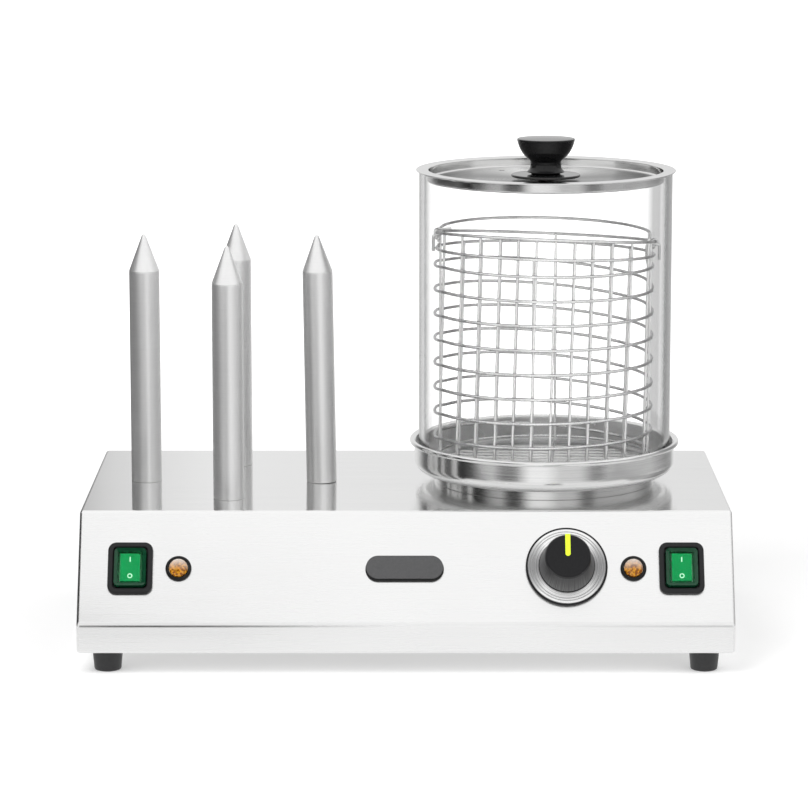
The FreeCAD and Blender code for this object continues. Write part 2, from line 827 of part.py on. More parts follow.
glass = turned("GlassCylinder", [
    ("glass_inside", "glass_low"), ("glass_radius", "glass_low"),
    ("glass_radius", "glass_top"), ("glass_inside", "glass_top")])
rounded(glass, "glass_edge", lambda edge: edge.BoundBox.ZLength < hair)
node(at(glass, "axis_x", "axis_y"), "glass_cylinder")

# Lid with its knob

dish = turned("LidDish", [
    ("lid_screw + lid_hole_gap", "dish_low"), ("dish_radius", "dish_low"), ("dish_radius", "lid_top"),
    ("dish_radius - lid_thick", "lid_top"), ("dish_radius - lid_thick", "dish_floor"),
    ("lid_screw + lid_hole_gap", "dish_floor")])
rounded(dish, "dish_round", circle_at("dish_radius", "dish_low"))
rounded(dish, "dish_round - lid_thick", circle_at("dish_radius - lid_thick", "dish_floor"))
at(dish, "axis_x", "axis_y")
steam = rod("SteamVent", "vent_radius", "4 * lid_thick", "axis_x + vent_x", "axis_y + vent_y",
            "dish_low - lid_thick")
node(cut("Lid", dish, [steam]), "lid_dish")
brim = turned("LidBrim", [
    ("dish_radius", "lid_low"), ("lid_radius", "lid_low"), ("lid_radius", "lid_top"), ("dish_radius", "lid_top")])
node(at(brim, "axis_x", "axis_y"), "lid_flange")

disc = turned("KnobDisc", [
    ("lid_screw + lid_screw_gap", "dish_floor"), ("disc_foot", "dish_floor"), ("disc_foot", "disc_low"),
    ("disc_radius", "disc_low"), ("disc_radius", "disc_top"), ("lid_screw + lid_screw_gap", "disc_top")])
node(at(rounded(disc, "disc_thick / 2.2", circle_at("disc_radius", "disc_top")), "axis_x", "axis_y"),
     "lid_knob_base")
knob = turned("LidKnob", [
    ("lid_screw + lid_screw_gap", "disc_top"), ("stub_radius", "disc_top"),
    ("stub_radius", "disc_top + stub_high"), ("flare_radius", "flare_high - stub_high / 2"),
    ("flare_radius", "flare_high"), ("waist_radius", "waist_high - waist_long"), ("waist_radius", "waist_high"),
    ("belly_radius", "belly_high"), ("shoulder_radius", "shoulder_high"),
    ("cap_radius - cap_edge / 2", "cap_low"), ("cap_radius", "cap_low + cap_edge"),
    ("cap_radius", "cap_top - cap_edge"), ("cap_radius - cap_edge", "cap_top"),
    ("cap_radius / 2", "cap_top - cap_dish"), ("0", "cap_top - cap_dish"),
    ("0", "dish_low + lid_screw_long + lid_screw_gap"),
    ("lid_screw + lid_screw_gap", "dish_low + lid_screw_long + lid_screw_gap")])
node(at(knob, "axis_x", "axis_y"), "lid_knob")
node(joined("LidKnobScrew", [
    rod("LidScrewHead", "lid_screw_head", "lid_screw_head_high", "axis_x", "axis_y",
        "dish_low - lid_screw_head_high"),
    rod("LidScrewShank", "lid_screw", "lid_screw_long", "axis_x", "axis_y", "dish_low")]), "lid_knob_screw")

# Basket wires, placed about the basket's own axis and turned together


def caged(item):
    tilt(item, (0, 0, 1), "-cage_turn")
    return at(item, "axis_x", "axis_y")


def strut(name, start, end):
    """A straight wire between two points."""
    run = ["((%s) - (%s))" % (b, a) for a, b in zip(start, end)]
    flat = "sqrt(%s ^ 2 + %s ^ 2)" % (run[0], run[1])
    item = doc.addObject("Part::Cylinder", name)
    item.Placement = FreeCAD.Placement(vec(0, 0, 0), turn(vec(-value(run[1]), value(run[0]), 0), 10))
    bound(item, {"Radius": "wire", "Height": "sqrt(%s ^ 2 + %s ^ 2)" % (flat, run[2]),
                 "Placement.Rotation.Axis.x": "-" + run[1], "Placement.Rotation.Axis.y": run[0],
                 "Placement.Rotation.Angle": "atan2(%s; %s)" % (flat, run[2])})
    return at(item, *start)


def depth(across):
    return "sqrt(upright_mid ^ 2 - (%s) ^ 2)" % across


def top_ring_high(across, along):
    return "top_mid - tan(top_rise) * (%s) - tan(top_fall) * (%s)" % (along, across)


def ring_high(k):
    return "(ring_low + %d * ring_pitch)" % k


def ring_fall(k):
    return "(%d * ring_fall_step - ring_rise)" % k


def back_ring_high(k):
    return "(back_low + %d * back_ring_pitch)" % k


def back_ring_fall(k):
    return "(back_fall + %d * back_fall_step)" % k


fronts = []
backs = []
floor = []
short_backs = (5,)
tall_backs = (0, 6)
for k in range(upright_count):
    low = "(wire_first + %d * wire_pitch)" % k
    top = "(%s + front_lean)" % low
    foot = (low, "-" + depth(low), "cross_high")
    fronts.append(strut("FrontLeg%d" % k, foot, (top, "-" + depth(top), top_ring_high(top, "-" + depth(top)))))
    behind = "(back_first + %d * back_pitch)" % (k - 1) if k else "(back_left)"
    above = "(%s + back_lean)" % behind
    back_top = "hoop_mid - tan(hoop_rise) * %s - tan(hoop_fall) * %s" % (depth(above), above)
    if k in short_backs:
        above = behind
        back_top = "%s - tan(%s) * %s" % (back_ring_high(ring_count - 1), back_ring_fall(ring_count - 1), above)
    if k in tall_backs:
        behind = above = "(%s + back_odd_shift)" % behind if k else behind
        back_top = top_ring_high(above, depth(above))
    backs.append(strut("BackLeg%d" % k, (behind, depth(behind), "cross_high"), (above, depth(above), back_top)))
    floor.append(strut("LongWire%d" % k, (low, "-" + depth(low), "long_high"), (behind, depth(behind), "long_high")))
for name in ("one", "two"):
    low = "seam_low_" + name
    top = "seam_top_" + name
    fronts.append(strut("Seam_" + name, (low, "-" + depth(low), "cross_high"),
                        (top, "-" + depth(top), top_ring_high(top, "-" + depth(top)))))
node(caged(grouped("FrontUprights", fronts)), "basket_front_uprights")
node(caged(grouped("BackUprights", backs)), "basket_back_uprights")

for k in range(-cross_half, cross_half + 1):
    along = "(cross_pitch * %d)" % k
    wire = rod("CrossWire%d" % (k + cross_half), "wire", "2 * " + depth(along))
    facing(wire, (0, 1, 0), (0, 0, 1), (1, 0, 0))
    floor.append(at(wire, "-" + depth(along), along, "cross_high"))
floor.append(ring("FootRing", "foot_ring", "wire", z="foot_ring_high"))
node(caged(grouped("BasketFloor", floor)), "basket_floor")


def sloped_ring(name, high, rise, fall):
    """A whole ring, its front higher by rise and its right lower by fall, in degrees."""
    item = ring(name, "ring_mid", "wire")
    item.Placement = FreeCAD.Placement(vec(0, 0, 0), turn(vec(-value(rise), value(fall), 0), 10))
    bound(item, {"Placement.Rotation.Axis.x": "-" + rise, "Placement.Rotation.Axis.y": fall,
                 "Placement.Rotation.Angle": "sqrt(%s ^ 2 + %s ^ 2)" % (rise, fall)})
    return at(item, "axis_x", "axis_y", high)


def half_ring(name, high, fall, front):
    """Half a ring about the basket's axis, falling to the right."""
    item = ring(name, "ring_mid", "wire", sweep=180)
    if front:
        item.Placement = FreeCAD.Placement(vec(0, 0, 0), turn(vec(0.01, 0, 1), 180))
        bound(item, {"Placement.Rotation.Axis.x": "sin(%s / 2)" % fall,
                     "Placement.Rotation.Axis.z": "cos(%s / 2)" % fall})
    else:
        tilt(item, (0, 1, 0), fall)
    return at(item, "axis_x", "axis_y", high)


def bead(name, x, z):
    return at(bound(doc.addObject("Part::Sphere", name), {"Radius": "wire + bend_over"}), x, "axis_y", z)


def left_end(high, fall):
    """Where a half ring stops at the left."""
    return "axis_x - ring_mid * cos(%s)" % fall, "axis_y", "%s + ring_mid * sin(%s)" % (high, fall)


node(sloped_ring("TopRing", "top_mid", "top_rise", "top_fall"), "basket_top_ring")
node(sloped_ring("Hoop", "hoop_mid", "hoop_rise", "hoop_fall"), "basket_hoop")
rings = [ring("BaseRing", "ring_mid", "wire", "axis_x", "axis_y", "base_ring")]
for k in range(ring_count):
    near = left_end(ring_high(k), ring_fall(k))
    far = left_end(back_ring_high(k), back_ring_fall(k))
    rings.append(joined("Ring%d" % k, [
        half_ring("RingFront%d" % k, ring_high(k), ring_fall(k), True),
        half_ring("RingBack%d" % k, back_ring_high(k), back_ring_fall(k), False),
        bead("RingBendFront%d" % k, near[0], near[2]), bead("RingBendBack%d" % k, far[0], far[2]),
        strut("RingStep%d" % k, near, far)]))
node(grouped("BasketRings", rings), "basket_rings")

ears = []
ends = []
for side, sign, drop in (("left", "-", "+"), ("right", "+", "-")):
    bow_reach = "bail_mid * cos(bail_fall)"
    pin_reach = "(%s + %s_pin)" % (bow_reach, side)
    bow_end = "bow_high %s sin(bail_fall) * bail_mid" % drop
    loop = ring("EarLoop" + side, "ear_radius", "wire")
    facing(loop, (0, 1, 0), (0, 0, 1), (1, 0, 0))
    ears.append(at(loop, "axis_x %s ring_mid" % sign, "axis_y", "bail_high %s tan(top_fall) * ring_mid" % drop))
    start, tip = [("axis_x %s %s" % (sign, reach), "axis_y", "bail_high %s tan(top_fall) * %s" % (drop, reach))
                  for reach in (bow_reach, pin_reach)]
    ends.append(strut("BailPin" + side, start, tip))
    ends.append(rod("BailDrop" + side, "wire", "%s - (%s)" % (bow_end, start[2]), *start))
    hook_end = tip[2] + " - hook_long"
    ends.append(rod("BailHook" + side, "wire", "hook_long", tip[0], "axis_y", hook_end))
    for k, (x, z) in enumerate(((start[0], bow_end), (start[0], start[2]), (tip[0], tip[2]), (tip[0], hook_end))):
        ends.append(bead("BailBead%s%d" % (side, k), x, z))
node(grouped("BailEars", ears), "bail_ears")
bow = ring("BailBow", "bail_mid", "wire", sweep=180)
tilt(bow, (0, 1, 0), "bail_fall")
at(bow, "axis_x", "axis_y", "bow_high")
node(joined("BailHandle", [bow] + ends), "bail_handle")

# Switches under their soft boots, each made flat and seated on the slope

for side, sign in (("left", "-"), ("right", "")):
    x = sign + "switch_x"
    rim = slab("BezelBlock" + side, "bezel_wide", "bezel_tall", "0", "bezel_out", "bezel_corner")
    rounded(rim, "bezel_edge", lambda edge: edge.BoundBox.ZMin > value("bezel_out") - hair)
    inside = slab("BezelInside" + side, "bezel_in_wide", "bezel_in_tall", "-bezel_out", "2 * bezel_out",
                  "boot_corner + boot_gap")
    node(onslope(cut("Bezel" + side, rim, [inside]), x, "row_up"), side + "_switch_bezel")

    skin = slab("BootBlock" + side, "boot_wide", "boot_tall", "0", "boot_out", "boot_corner")
    rounded(skin, "boot_edge", lambda edge: edge.BoundBox.ZMin > value("boot_out") - hair)
    hollow = slab("BootInside" + side, "boot_wide - 2 * boot_wall", "boot_tall - 2 * boot_wall", "-boot_out",
                  "boot_out - boot_wall", "boot_corner - boot_wall")
    node(onslope(cut("Boot" + side, skin, [hollow]), x, "row_up"), side + "_switch_boot")

    tip = drawn("RockerTip" + side, "YZ_Plane", [
        ("-rocker_half", "rocker_face"), ("0", "rocker_face"), ("rocker_half", "rocker_face + rocker_rise"),
        ("rocker_half", "rocker_face + rocker_rise - rocker_thick"), ("rocker_foot", "-rocker_deep"),
        ("-rocker_foot", "-rocker_deep"), ("-rocker_half", "rocker_face - rocker_thick")],
        "rocker_wide", both=True)
    pin = rod("RockerPin" + side, "pivot_radius", "rocker_wide + 2 * pivot_reach")
    facing(pin, (0, 1, 0), (0, 0, 1), (1, 0, 0))
    at(pin, "-rocker_wide / 2 - pivot_reach", "0", "-pivot_in")
    node(onslope(joined("Rocker" + side, [tip, pin]), x, "row_up"), side + "_switch_rocker")

    block = slab("SwitchBlock" + side, "switch_body_wide", "switch_body_tall", "-switch_body_deep", "0")
    well = slab("SwitchWell" + side, "rocker_wide + 2 * well_gap", "2 * (rocker_half + well_ends)",
                "-well_deep", "well_deep")
    bore = rod("PinBore" + side, "pivot_radius + pivot_gap", "rocker_wide + 2 * (pivot_reach + well_gap)")
    facing(bore, (0, 1, 0), (0, 0, 1), (1, 0, 0))
    at(bore, "-rocker_wide / 2 - pivot_reach - well_gap", "0", "-pivot_in")
    hull = cut("SwitchHull" + side, block, [well, bore])
    tabs = [box("SwitchBlade%s%d" % (side, k + 1), "blade_wide", "blade_thick", "blade_long", "0",
                "%d * blade_apart" % k, "-switch_body_deep - blade_long") for k in (-1, 0, 1)]
    node(onslope(joined("Switch" + side, [hull] + tabs), x, "row_up"), side + "_switch_body")

# Pilot lamps

lamps = []
for side, sign in (("left", "-"), ("right", "")):
    x = sign + "lamp_x"
    rim = turned("LampRim" + side, [
        ("lens_radius + lens_gap", "0"), ("lamp_ring", "0"), ("lamp_ring", "lamp_ring_out - lamp_ring_edge"),
        ("lamp_ring - lamp_ring_edge", "lamp_ring_out"), ("lens_radius + lens_gap", "lamp_ring_out")])
    node(onslope(rim, x, "row_up"), side + "_lamp_bezel")
    lens = turned("Lens" + side, [
        ("0", "0"), ("lens_radius", "0"), ("lens_radius", "lens_side"),
        ("lens_radius * 0.93", "lens_side + 0.4 * (lens_out - lens_side)"),
        ("lens_radius * 0.76", "lens_side + 0.7 * (lens_out - lens_side)"),
        ("lens_radius * 0.42", "lens_side + 0.93 * (lens_out - lens_side)"), ("0", "lens_out")])
    node(onslope(lens, x, "row_up"), side + "_lamp_lens")
    tube = rod("LampTube" + side, "lamp_body", "lamp_body_deep", z="-lamp_body_deep")
    clip = rod("LampClip" + side, "lamp_clip", "lamp_clip_thick", z="-sheet - lamp_clip_thick")
    tabs = [box("LampBlade%s%d" % (side, k + 1), "blade_thick", "blade_wide", "blade_long",
                "%d * lamp_body / 2" % k, "0", "-lamp_body_deep - blade_long") for k in (-1, 1)]
    lamps.append(onslope(joined("Lamp" + side, [tube, clip] + tabs), x, "row_up"))
node(grouped("LampBodies", lamps), "lamp_bodies")

# Bare plate in the middle of the slope

plate = slab("Badge", "badge_wide", "badge_tall", "0", "badge_thick", "badge_tall / 2 - badge_flat")
rounded(plate, "badge_edge", lambda edge: edge.BoundBox.ZMin > value("badge_thick") - hair)
node(onslope(plate, "badge_x", "row_up"), "badge_plate")

# Thermostat: dial, knob on its shaft, and the body behind the sheet

seat = turned("DialBase", [
    ("nut_well", "0"), ("dial_base_radius", "0"), ("dial_base_radius", "dial_base_thick - dial_edge"),
    ("dial_base_radius - dial_edge", "dial_base_thick"), ("nut_well", "dial_base_thick")])
node(onslope(seat, "dial_x", "dial_up"), "dial_base")
face = turned("DialRing", [
    ("dial_ring_in", "dial_base_thick"), ("dial_ring_radius", "dial_base_thick"),
    ("dial_ring_radius", "dial_face - dial_edge"), ("dial_ring_radius - dial_edge", "dial_face"),
    ("groove_mid + groove_half", "dial_face"), ("groove_mid", "dial_face - groove_deep"),
    ("groove_mid - groove_half", "dial_face"), ("dial_ring_in", "dial_face")])
node(onslope(face, "dial_x", "dial_up"), "dial_ring")
grip = turned("ThermostatKnob", [
    ("knob_recess", "knob_low"), ("knob_radius", "knob_low"), ("knob_radius", "knob_low + knob_skirt"),
    ("knob_neck", "knob_top - knob_step_high"), ("knob_face", "knob_top - knob_step_high"),
    ("knob_face", "knob_top"), ("0", "knob_top"), ("0", "knob_top - knob_roof"),
    ("shaft_radius + shaft_gap", "knob_top - knob_roof"),
    ("shaft_radius + shaft_gap", "knob_low + knob_recess_high"),
    ("knob_recess", "knob_low + knob_recess_high")])
rounded(grip, "dial_edge", circle_at("knob_face", "knob_top"))
node(onslope(grip, "dial_x", "dial_up"), "thermostat_knob")
mark = [box("PointerFace", "pointer_wide", "knob_face + pointer_over - pointer_start", "pointer_thick",
            "0", "(knob_face + pointer_over + pointer_start) / 2", "knob_top"),
        box("PointerEdge", "pointer_wide", "pointer_over", "knob_step_high - 2 * pointer_thick", "0",
            "knob_face + pointer_over / 2", "knob_top - knob_step_high + 2 * pointer_thick")]
node(onslope(joined("Pointer", mark), "dial_x", "dial_up"), "knob_pointer")
node(onslope(rod("Shaft", "shaft_radius", "shaft_in + knob_top - knob_roof - shaft_end_gap"), "dial_x",
             "dial_up", "-shaft_in"), "thermostat_shaft")
can = turned("ThermostatBody", [
    ("0", "-can_deep"), ("can_radius", "-can_deep"), ("can_radius", "-can_top"), ("can_flange", "-can_top"),
    ("can_flange", "-sheet"), ("bush_radius", "-sheet"), ("bush_radius", "bush_out"),
    ("shaft_radius + shaft_gap", "bush_out"), ("shaft_radius + shaft_gap", "-shaft_in - shaft_end_gap"),
    ("0", "-shaft_in - shaft_end_gap")])
node(onslope(can, "dial_x", "dial_up"), "thermostat_body")
nut = cut("ThermostatNut", hexagon("DialNut", "nut_corner", "nut_high"),
          [rod("DialNutBore", "bush_radius + thread_gap", "3 * nut_high", z="-nut_high")])
node(onslope(nut, "dial_x", "dial_up"), "thermostat_nut")

# Cord entry and terminals at the back

parts = [rod("GlandThread", "gland_thread", "gland_in", z="-gland_in"),
         hexagon("GlandHex", "gland_hex", "gland_hex_high"),
         bound(doc.addObject("Part::Cone", "GlandDome"),
               {"Radius1": "gland_dome", "Radius2": "gland_dome_top",
                "Height": "gland_reach - sheet - gland_hex_high"})]
at(parts[2], z="gland_hex_high")
body = cut("CableGland", joined("GlandBlock", parts),
           [rod("GlandBore", "gland_bore", "3 * gland_in", z="-1.2 * gland_in")])
node(onwall(body, "gland_x", "gland_z"), "cable_gland")
nut = cut("GlandNut", hexagon("GlandNutBlock", "gland_hex", "gland_nut_high", z="-sheet - gland_nut_high"),
          [rod("GlandNutBore", "gland_thread + thread_gap", "6 * gland_nut_high", z="-3 * gland_nut_high")])
node(onwall(nut, "gland_x", "gland_z"), "gland_nut")

block = box("Block", "block_wide", "block_deep", "block_high", "gland_x", "back - block_back", "plate_top")
slots = []
for k in (-1, 0, 1):
    x = "gland_x + %d * block_pitch" % k
    slots.append(box("BlockSlot%d" % (k + 1), "block_slot", "block_deep / 3", "block_high", x,
                     "back - block_back - block_deep / 3", "plate_top + block_high / 3"))
    slots.append(rod("BlockBore%d" % (k + 1), "block_screw", "block_high", x,
                     "back - block_back + block_deep / 6", "plate_top + block_high / 2"))
node(cut("TerminalBlock", block, slots), "terminal_block")

doc.recompute()

faults = []
for item in doc.Objects:
    state = " ".join(item.State)
    if "Invalid" in state or "Error" in state:
        faults.append("%s: %s" % (item.Label, state))
for item in nodes:
    if item.Shape.isNull() or not item.Shape.isValid() or not item.Shape.Solids:
        faults.append("%s: no valid solid" % item.Label)
if faults:
    raise RuntimeError("; ".join(faults))

os.makedirs("parts", exist_ok=True)
whole = None
for item in nodes:
    item.Shape.exportStep("parts/%s.step" % item.Label)
    extent = item.Shape.optimalBoundingBox(False, False)
    whole = FreeCAD.BoundBox(extent) if whole is None else whole
    whole.add(extent)
    print("%-24s solids %2d  volume %10.1f" % (item.Label, len(item.Shape.Solids), item.Shape.Volume))
print("overall %.2f x %.2f x %.2f" % (whole.XLength, whole.YLength, whole.ZLength))
print("from %.2f %.2f %.2f" % (whole.XMin, whole.YMin, whole.ZMin))
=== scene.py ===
import math

import bmesh
import bpy
from mathutils import Matrix, Vector


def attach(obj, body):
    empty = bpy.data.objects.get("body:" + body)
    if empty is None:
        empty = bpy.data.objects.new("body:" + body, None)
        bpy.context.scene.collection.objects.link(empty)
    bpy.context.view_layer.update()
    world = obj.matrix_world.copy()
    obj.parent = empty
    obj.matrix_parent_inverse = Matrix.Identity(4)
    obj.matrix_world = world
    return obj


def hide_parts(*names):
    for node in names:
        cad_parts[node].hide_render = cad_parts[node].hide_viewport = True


# Counter-top hot dog warmer. Sizes are written in millimetres and turned into metres where a mesh is made.

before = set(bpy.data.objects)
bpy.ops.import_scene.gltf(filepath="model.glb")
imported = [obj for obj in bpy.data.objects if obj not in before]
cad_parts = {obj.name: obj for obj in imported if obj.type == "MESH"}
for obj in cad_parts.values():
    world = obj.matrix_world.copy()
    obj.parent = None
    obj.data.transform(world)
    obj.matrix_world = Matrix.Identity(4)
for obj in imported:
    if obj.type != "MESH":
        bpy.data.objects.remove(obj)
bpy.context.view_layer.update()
scene = bpy.context.scene
mm = 0.001
wholeTurn = 2 * math.pi
print("frame loaded:", len(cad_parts), "nodes")

# Places that many pieces share

front = -149.994
back = front + 295.0
foldHigh = 39.6
deckHigh = 118.2
slope = math.atan2(deckHigh - foldHigh, 46.8)
rowUp = 44.6
towerX = 110.46
towerY = front + 173.67


def place(x, y, z=0.0):
    return Matrix.Translation((x * mm, y * mm, z * mm))


def turnBy(degrees, axis):
    return Matrix.Rotation(math.radians(degrees), 4, axis)


def onSlope(x, up, out=0.0):
    y = front + up * math.cos(slope) - out * math.sin(slope)
    z = foldHigh + up * math.sin(slope) + out * math.cos(slope)
    return place(x, y, z) @ Matrix.Rotation(slope, 4, "X")


onTower = place(towerX, towerY)


# Node helpers for the finishes

def newFinish(name, colour, roughness, metallic=0.0, **more):
    material = bpy.data.materials.new(name)
    material.use_nodes = True
    material.diffuse_color = (*colour, 1)
    tree = material.node_tree
    shader = tree.nodes["Principled BSDF"]
    shader.inputs["Base Color"].default_value = (*colour, 1)
    shader.inputs["Roughness"].default_value = roughness
    shader.inputs["Metallic"].default_value = metallic
    for socket, value in more.items():
        shader.inputs[socket].default_value = value
    return material, tree, shader


def mapped(tree, scale=(1, 1, 1), centre=(0, 0, 0), tilt=(0, 0, 0)):
    where = tree.nodes.new("ShaderNodeTexCoord")
    shift = tree.nodes.new("ShaderNodeMapping")
    shift.vector_type = "TEXTURE"
    shift.inputs["Location"].default_value = [value * mm for value in centre]
    shift.inputs["Rotation"].default_value = tilt
    tree.links.new(where.outputs["Object"], shift.inputs["Vector"])
    stretch = tree.nodes.new("ShaderNodeMapping")
    stretch.inputs["Scale"].default_value = scale
    tree.links.new(shift.outputs["Vector"], stretch.inputs["Vector"])
    return stretch.outputs["Vector"]


def noiseOf(tree, vector, scale=1.0, detail=3.0, rough=0.5):
    noise = tree.nodes.new("ShaderNodeTexNoise")
    noise.inputs["Scale"].default_value = scale
    noise.inputs["Detail"].default_value = detail
    noise.inputs["Roughness"].default_value = rough
    tree.links.new(vector, noise.inputs["Vector"])
    return noise.outputs["Fac"]


def distanceOf(tree, vector):
    length = tree.nodes.new("ShaderNodeVectorMath")
    length.operation = "LENGTH"
    tree.links.new(vector, length.inputs[0])
    return length.outputs["Value"]


def lineNoise(tree, value, scale, detail=2.0):
    noise = tree.nodes.new("ShaderNodeTexNoise")
    noise.noise_dimensions = "1D"
    noise.inputs["Scale"].default_value = scale
    noise.inputs["Detail"].default_value = detail
    tree.links.new(value, noise.inputs["W"])
    return noise.outputs["Fac"]


def spread(tree, factor, low, high, start=0.3, end=0.7):
    ranger = tree.nodes.new("ShaderNodeMapRange")
    ranger.inputs["From Min"].default_value = start
    ranger.inputs["From Max"].default_value = end
    ranger.inputs["To Min"].default_value = low
    ranger.inputs["To Max"].default_value = high
    tree.links.new(factor, ranger.inputs["Value"])
    return ranger.outputs["Result"]


def blended(tree, factor, first, second):
    mixer = tree.nodes.new("ShaderNodeMix")
    mixer.data_type = "RGBA"
    for value, socket in ((first, mixer.inputs[6]), (second, mixer.inputs[7])):
        if isinstance(value, tuple):
            socket.default_value = (*value, 1)
        else:
            tree.links.new(value, socket)
    tree.links.new(factor, mixer.inputs[0])
    return mixer.outputs[2]


def combined(tree, first, second, operation="MULTIPLY"):
    sums = tree.nodes.new("ShaderNodeMath")
    sums.operation = operation
    for value, socket in ((first, sums.inputs[0]), (second, sums.inputs[1])):
        if isinstance(value, (int, float)):
            socket.default_value = value
        else:
            tree.links.new(value, socket)
    return sums.outputs[0]


def grained(tree, shader, amount, way=(0, 0, 1), centre=None):
    # stretches the sheen along one way, or outwards from a centre on turned discs
    shader.inputs["Anisotropic"].default_value = amount
    if centre is None:
        axis = tree.nodes.new("ShaderNodeCombineXYZ")
        for socket, value in zip(axis.inputs, way):
            socket.default_value = value
        tree.links.new(axis.outputs[0], shader.inputs["Tangent"])
    else:
        tree.links.new(mapped(tree, (1, 1, 0), centre), shader.inputs["Tangent"])


def bumped(tree, shader, height, strength, depth):
    bump = tree.nodes.new("ShaderNodeBump")
    bump.inputs["Strength"].default_value = strength
    bump.inputs["Distance"].default_value = depth * mm
    tree.links.new(height, bump.inputs["Height"])
    tree.links.new(bump.outputs["Normal"], shader.inputs["Normal"])


# Finishes

brushing = {
    "grainLong": 22.0,     # grains per metre along the rolling direction
    "grainFine": 2600.0,   # and across it
    "bandLong": 5.0,
    "bandFine": 240.0,
    "cloudScale": 9.0,
}


def brushedSteel(name, pale, dull, roughness, along="X", grainDepth=0.02, stretch=0.0):
    material, tree, shader = newFinish(name, pale, roughness, 1.0)
    if stretch:
        grained(tree, shader, stretch, (0, 1, 0) if along == "X" else (0, 0, 1))
    long, fine = brushing["grainLong"], brushing["grainFine"]
    bandLong, bandFine = brushing["bandLong"], brushing["bandFine"]
    if along == "X":
        grainScale, bandScale = (long, fine, fine), (bandLong, bandFine, bandFine)
    elif along == "Y":
        grainScale, bandScale = (fine, long, fine), (bandFine, bandLong, bandFine)
    else:
        grainScale, bandScale = (fine, fine, long), (bandFine, bandFine, bandLong)
    grain = noiseOf(tree, mapped(tree, grainScale), detail=2)
    band = noiseOf(tree, mapped(tree, bandScale), detail=3)
    cloud = noiseOf(tree, mapped(tree, (1, 1, 1)), brushing["cloudScale"], 2)
    mix = combined(tree, combined(tree, grain, band, "ADD"), 0.5)
    tree.links.new(blended(tree, spread(tree, mix, 0, 1), dull, pale), shader.inputs["Base Color"])
    rough = combined(tree, spread(tree, mix, -roughness * 0.18, roughness * 0.18),
                     spread(tree, cloud, roughness * 0.88, roughness * 1.12), "ADD")
    tree.links.new(rough, shader.inputs["Roughness"])
    bumped(tree, shader, mix, 0.25, grainDepth)
    return material


def turnedSteel(name, pale, dull, roughness, centre=(towerX, towerY, 0), fine=1400.0, flat=False, depth=0.02,
                stretch=0.0, metallic=1.0, paintedFans=0.0):
    material, tree, shader = newFinish(name, pale, roughness, metallic)
    if stretch:
        grained(tree, shader, stretch, centre=centre if flat else None)
    if flat:
        reach = distanceOf(tree, mapped(tree, (1, 1, 0), centre))
        lines = lineNoise(tree, reach, fine)
    else:
        lines = noiseOf(tree, mapped(tree, (14, 14, fine), centre), detail=2)
    cloud = noiseOf(tree, mapped(tree, (1, 1, 1)), 14, 2)
    if paintedFans:    # painted sheen and shade: turned discs are painted bright in two fans and darker beside them
        parts = tree.nodes.new("ShaderNodeSeparateXYZ")
        tree.links.new(mapped(tree, (1, 1, 0), centre), parts.inputs[0])
        aside = combined(tree, combined(tree, parts.outputs["X"], 0.0, "ABSOLUTE"), reach, "DIVIDE")
        share = spread(tree, aside, 1.0, 0.0, 0.25, 0.95)
        pale = blended(tree, share, tuple(value * paintedFans for value in pale), pale)
        dull = blended(tree, share, tuple(value * paintedFans for value in dull), dull)
    tree.links.new(blended(tree, spread(tree, lines, 0, 1), dull, pale), shader.inputs["Base Color"])
    rough = combined(tree, spread(tree, lines, -roughness * 0.15, roughness * 0.15),
                     spread(tree, cloud, roughness * 0.85, roughness * 1.15), "ADD")
    tree.links.new(rough, shader.inputs["Roughness"])
    bumped(tree, shader, lines, 0.2, depth)
    return material


def speckled(name, colour, other, roughness, scale=900.0, strength=0.25, depth=0.03, **more):
    material, tree, shader = newFinish(name, colour, roughness, **more)
    grain = noiseOf(tree, mapped(tree), scale, 3)
    cloud = noiseOf(tree, mapped(tree), scale / 40, 2)
    tree.links.new(blended(tree, spread(tree, grain, 0, 1), colour, other), shader.inputs["Base Color"])
    tree.links.new(spread(tree, cloud, roughness * 0.85, roughness * 1.15), shader.inputs["Roughness"])
    bumped(tree, shader, grain, strength, depth)
    return material


def drawnSteel(name, pale, rim, roughness, metallic):
    # thin bright wire: a pale core between painted darker sides
    material, tree, shader = newFinish(name, (pale, pale, pale), roughness, metallic)
    grain = noiseOf(tree, mapped(tree), 500, 3)
    sides = tree.nodes.new("ShaderNodeLayerWeight")
    sides.inputs["Blend"].default_value = 0.5
    lit = blended(tree, spread(tree, grain, 0, 1), (pale, pale, pale), (pale * 0.9, pale * 0.9, pale * 0.895))
    # painted shade: the colour darkens where the wire is seen edge on
    turned = spread(tree, sides.outputs["Facing"], 0, 1, 0.18, 0.62)
    tree.links.new(blended(tree, turned, lit, (rim, rim, rim)), shader.inputs["Base Color"])
    bumped(tree, shader, grain, 0.15, 0.03)
    return material


sheetFront = brushedSteel("sheetFront", (0.985, 0.985, 0.98), (0.94, 0.94, 0.94), 0.27)
sheetDeck = brushedSteel("sheetDeck", (0.92, 0.92, 0.915), (0.87, 0.87, 0.87), 0.10, grainDepth=0.002, stretch=0.8)
foldSteel = brushedSteel("foldSteel", (0.93, 0.93, 0.925), (0.88, 0.88, 0.88), 0.55)
foldSteel.node_tree.nodes["Principled BSDF"].inputs["Metallic"].default_value = 0.4
sheetSide = brushedSteel("sheetSide", (0.90, 0.90, 0.895), (0.82, 0.82, 0.82), 0.27, "Y")
sheetInside = brushedSteel("sheetInside", (0.62, 0.62, 0.61), (0.52, 0.52, 0.52), 0.4)
collarSteel = turnedSteel("collarSteel", (0.80, 0.80, 0.79), (0.70, 0.70, 0.70), 0.16)
panSteel = turnedSteel("panSteel", (0.86, 0.86, 0.855), (0.80, 0.80, 0.80), 0.17, depth=0.004, stretch=0.85)
panFloorSteel = turnedSteel("panFloorSteel", (0.93, 0.93, 0.925), (0.84, 0.84, 0.84), 0.30, flat=True, metallic=0.45)
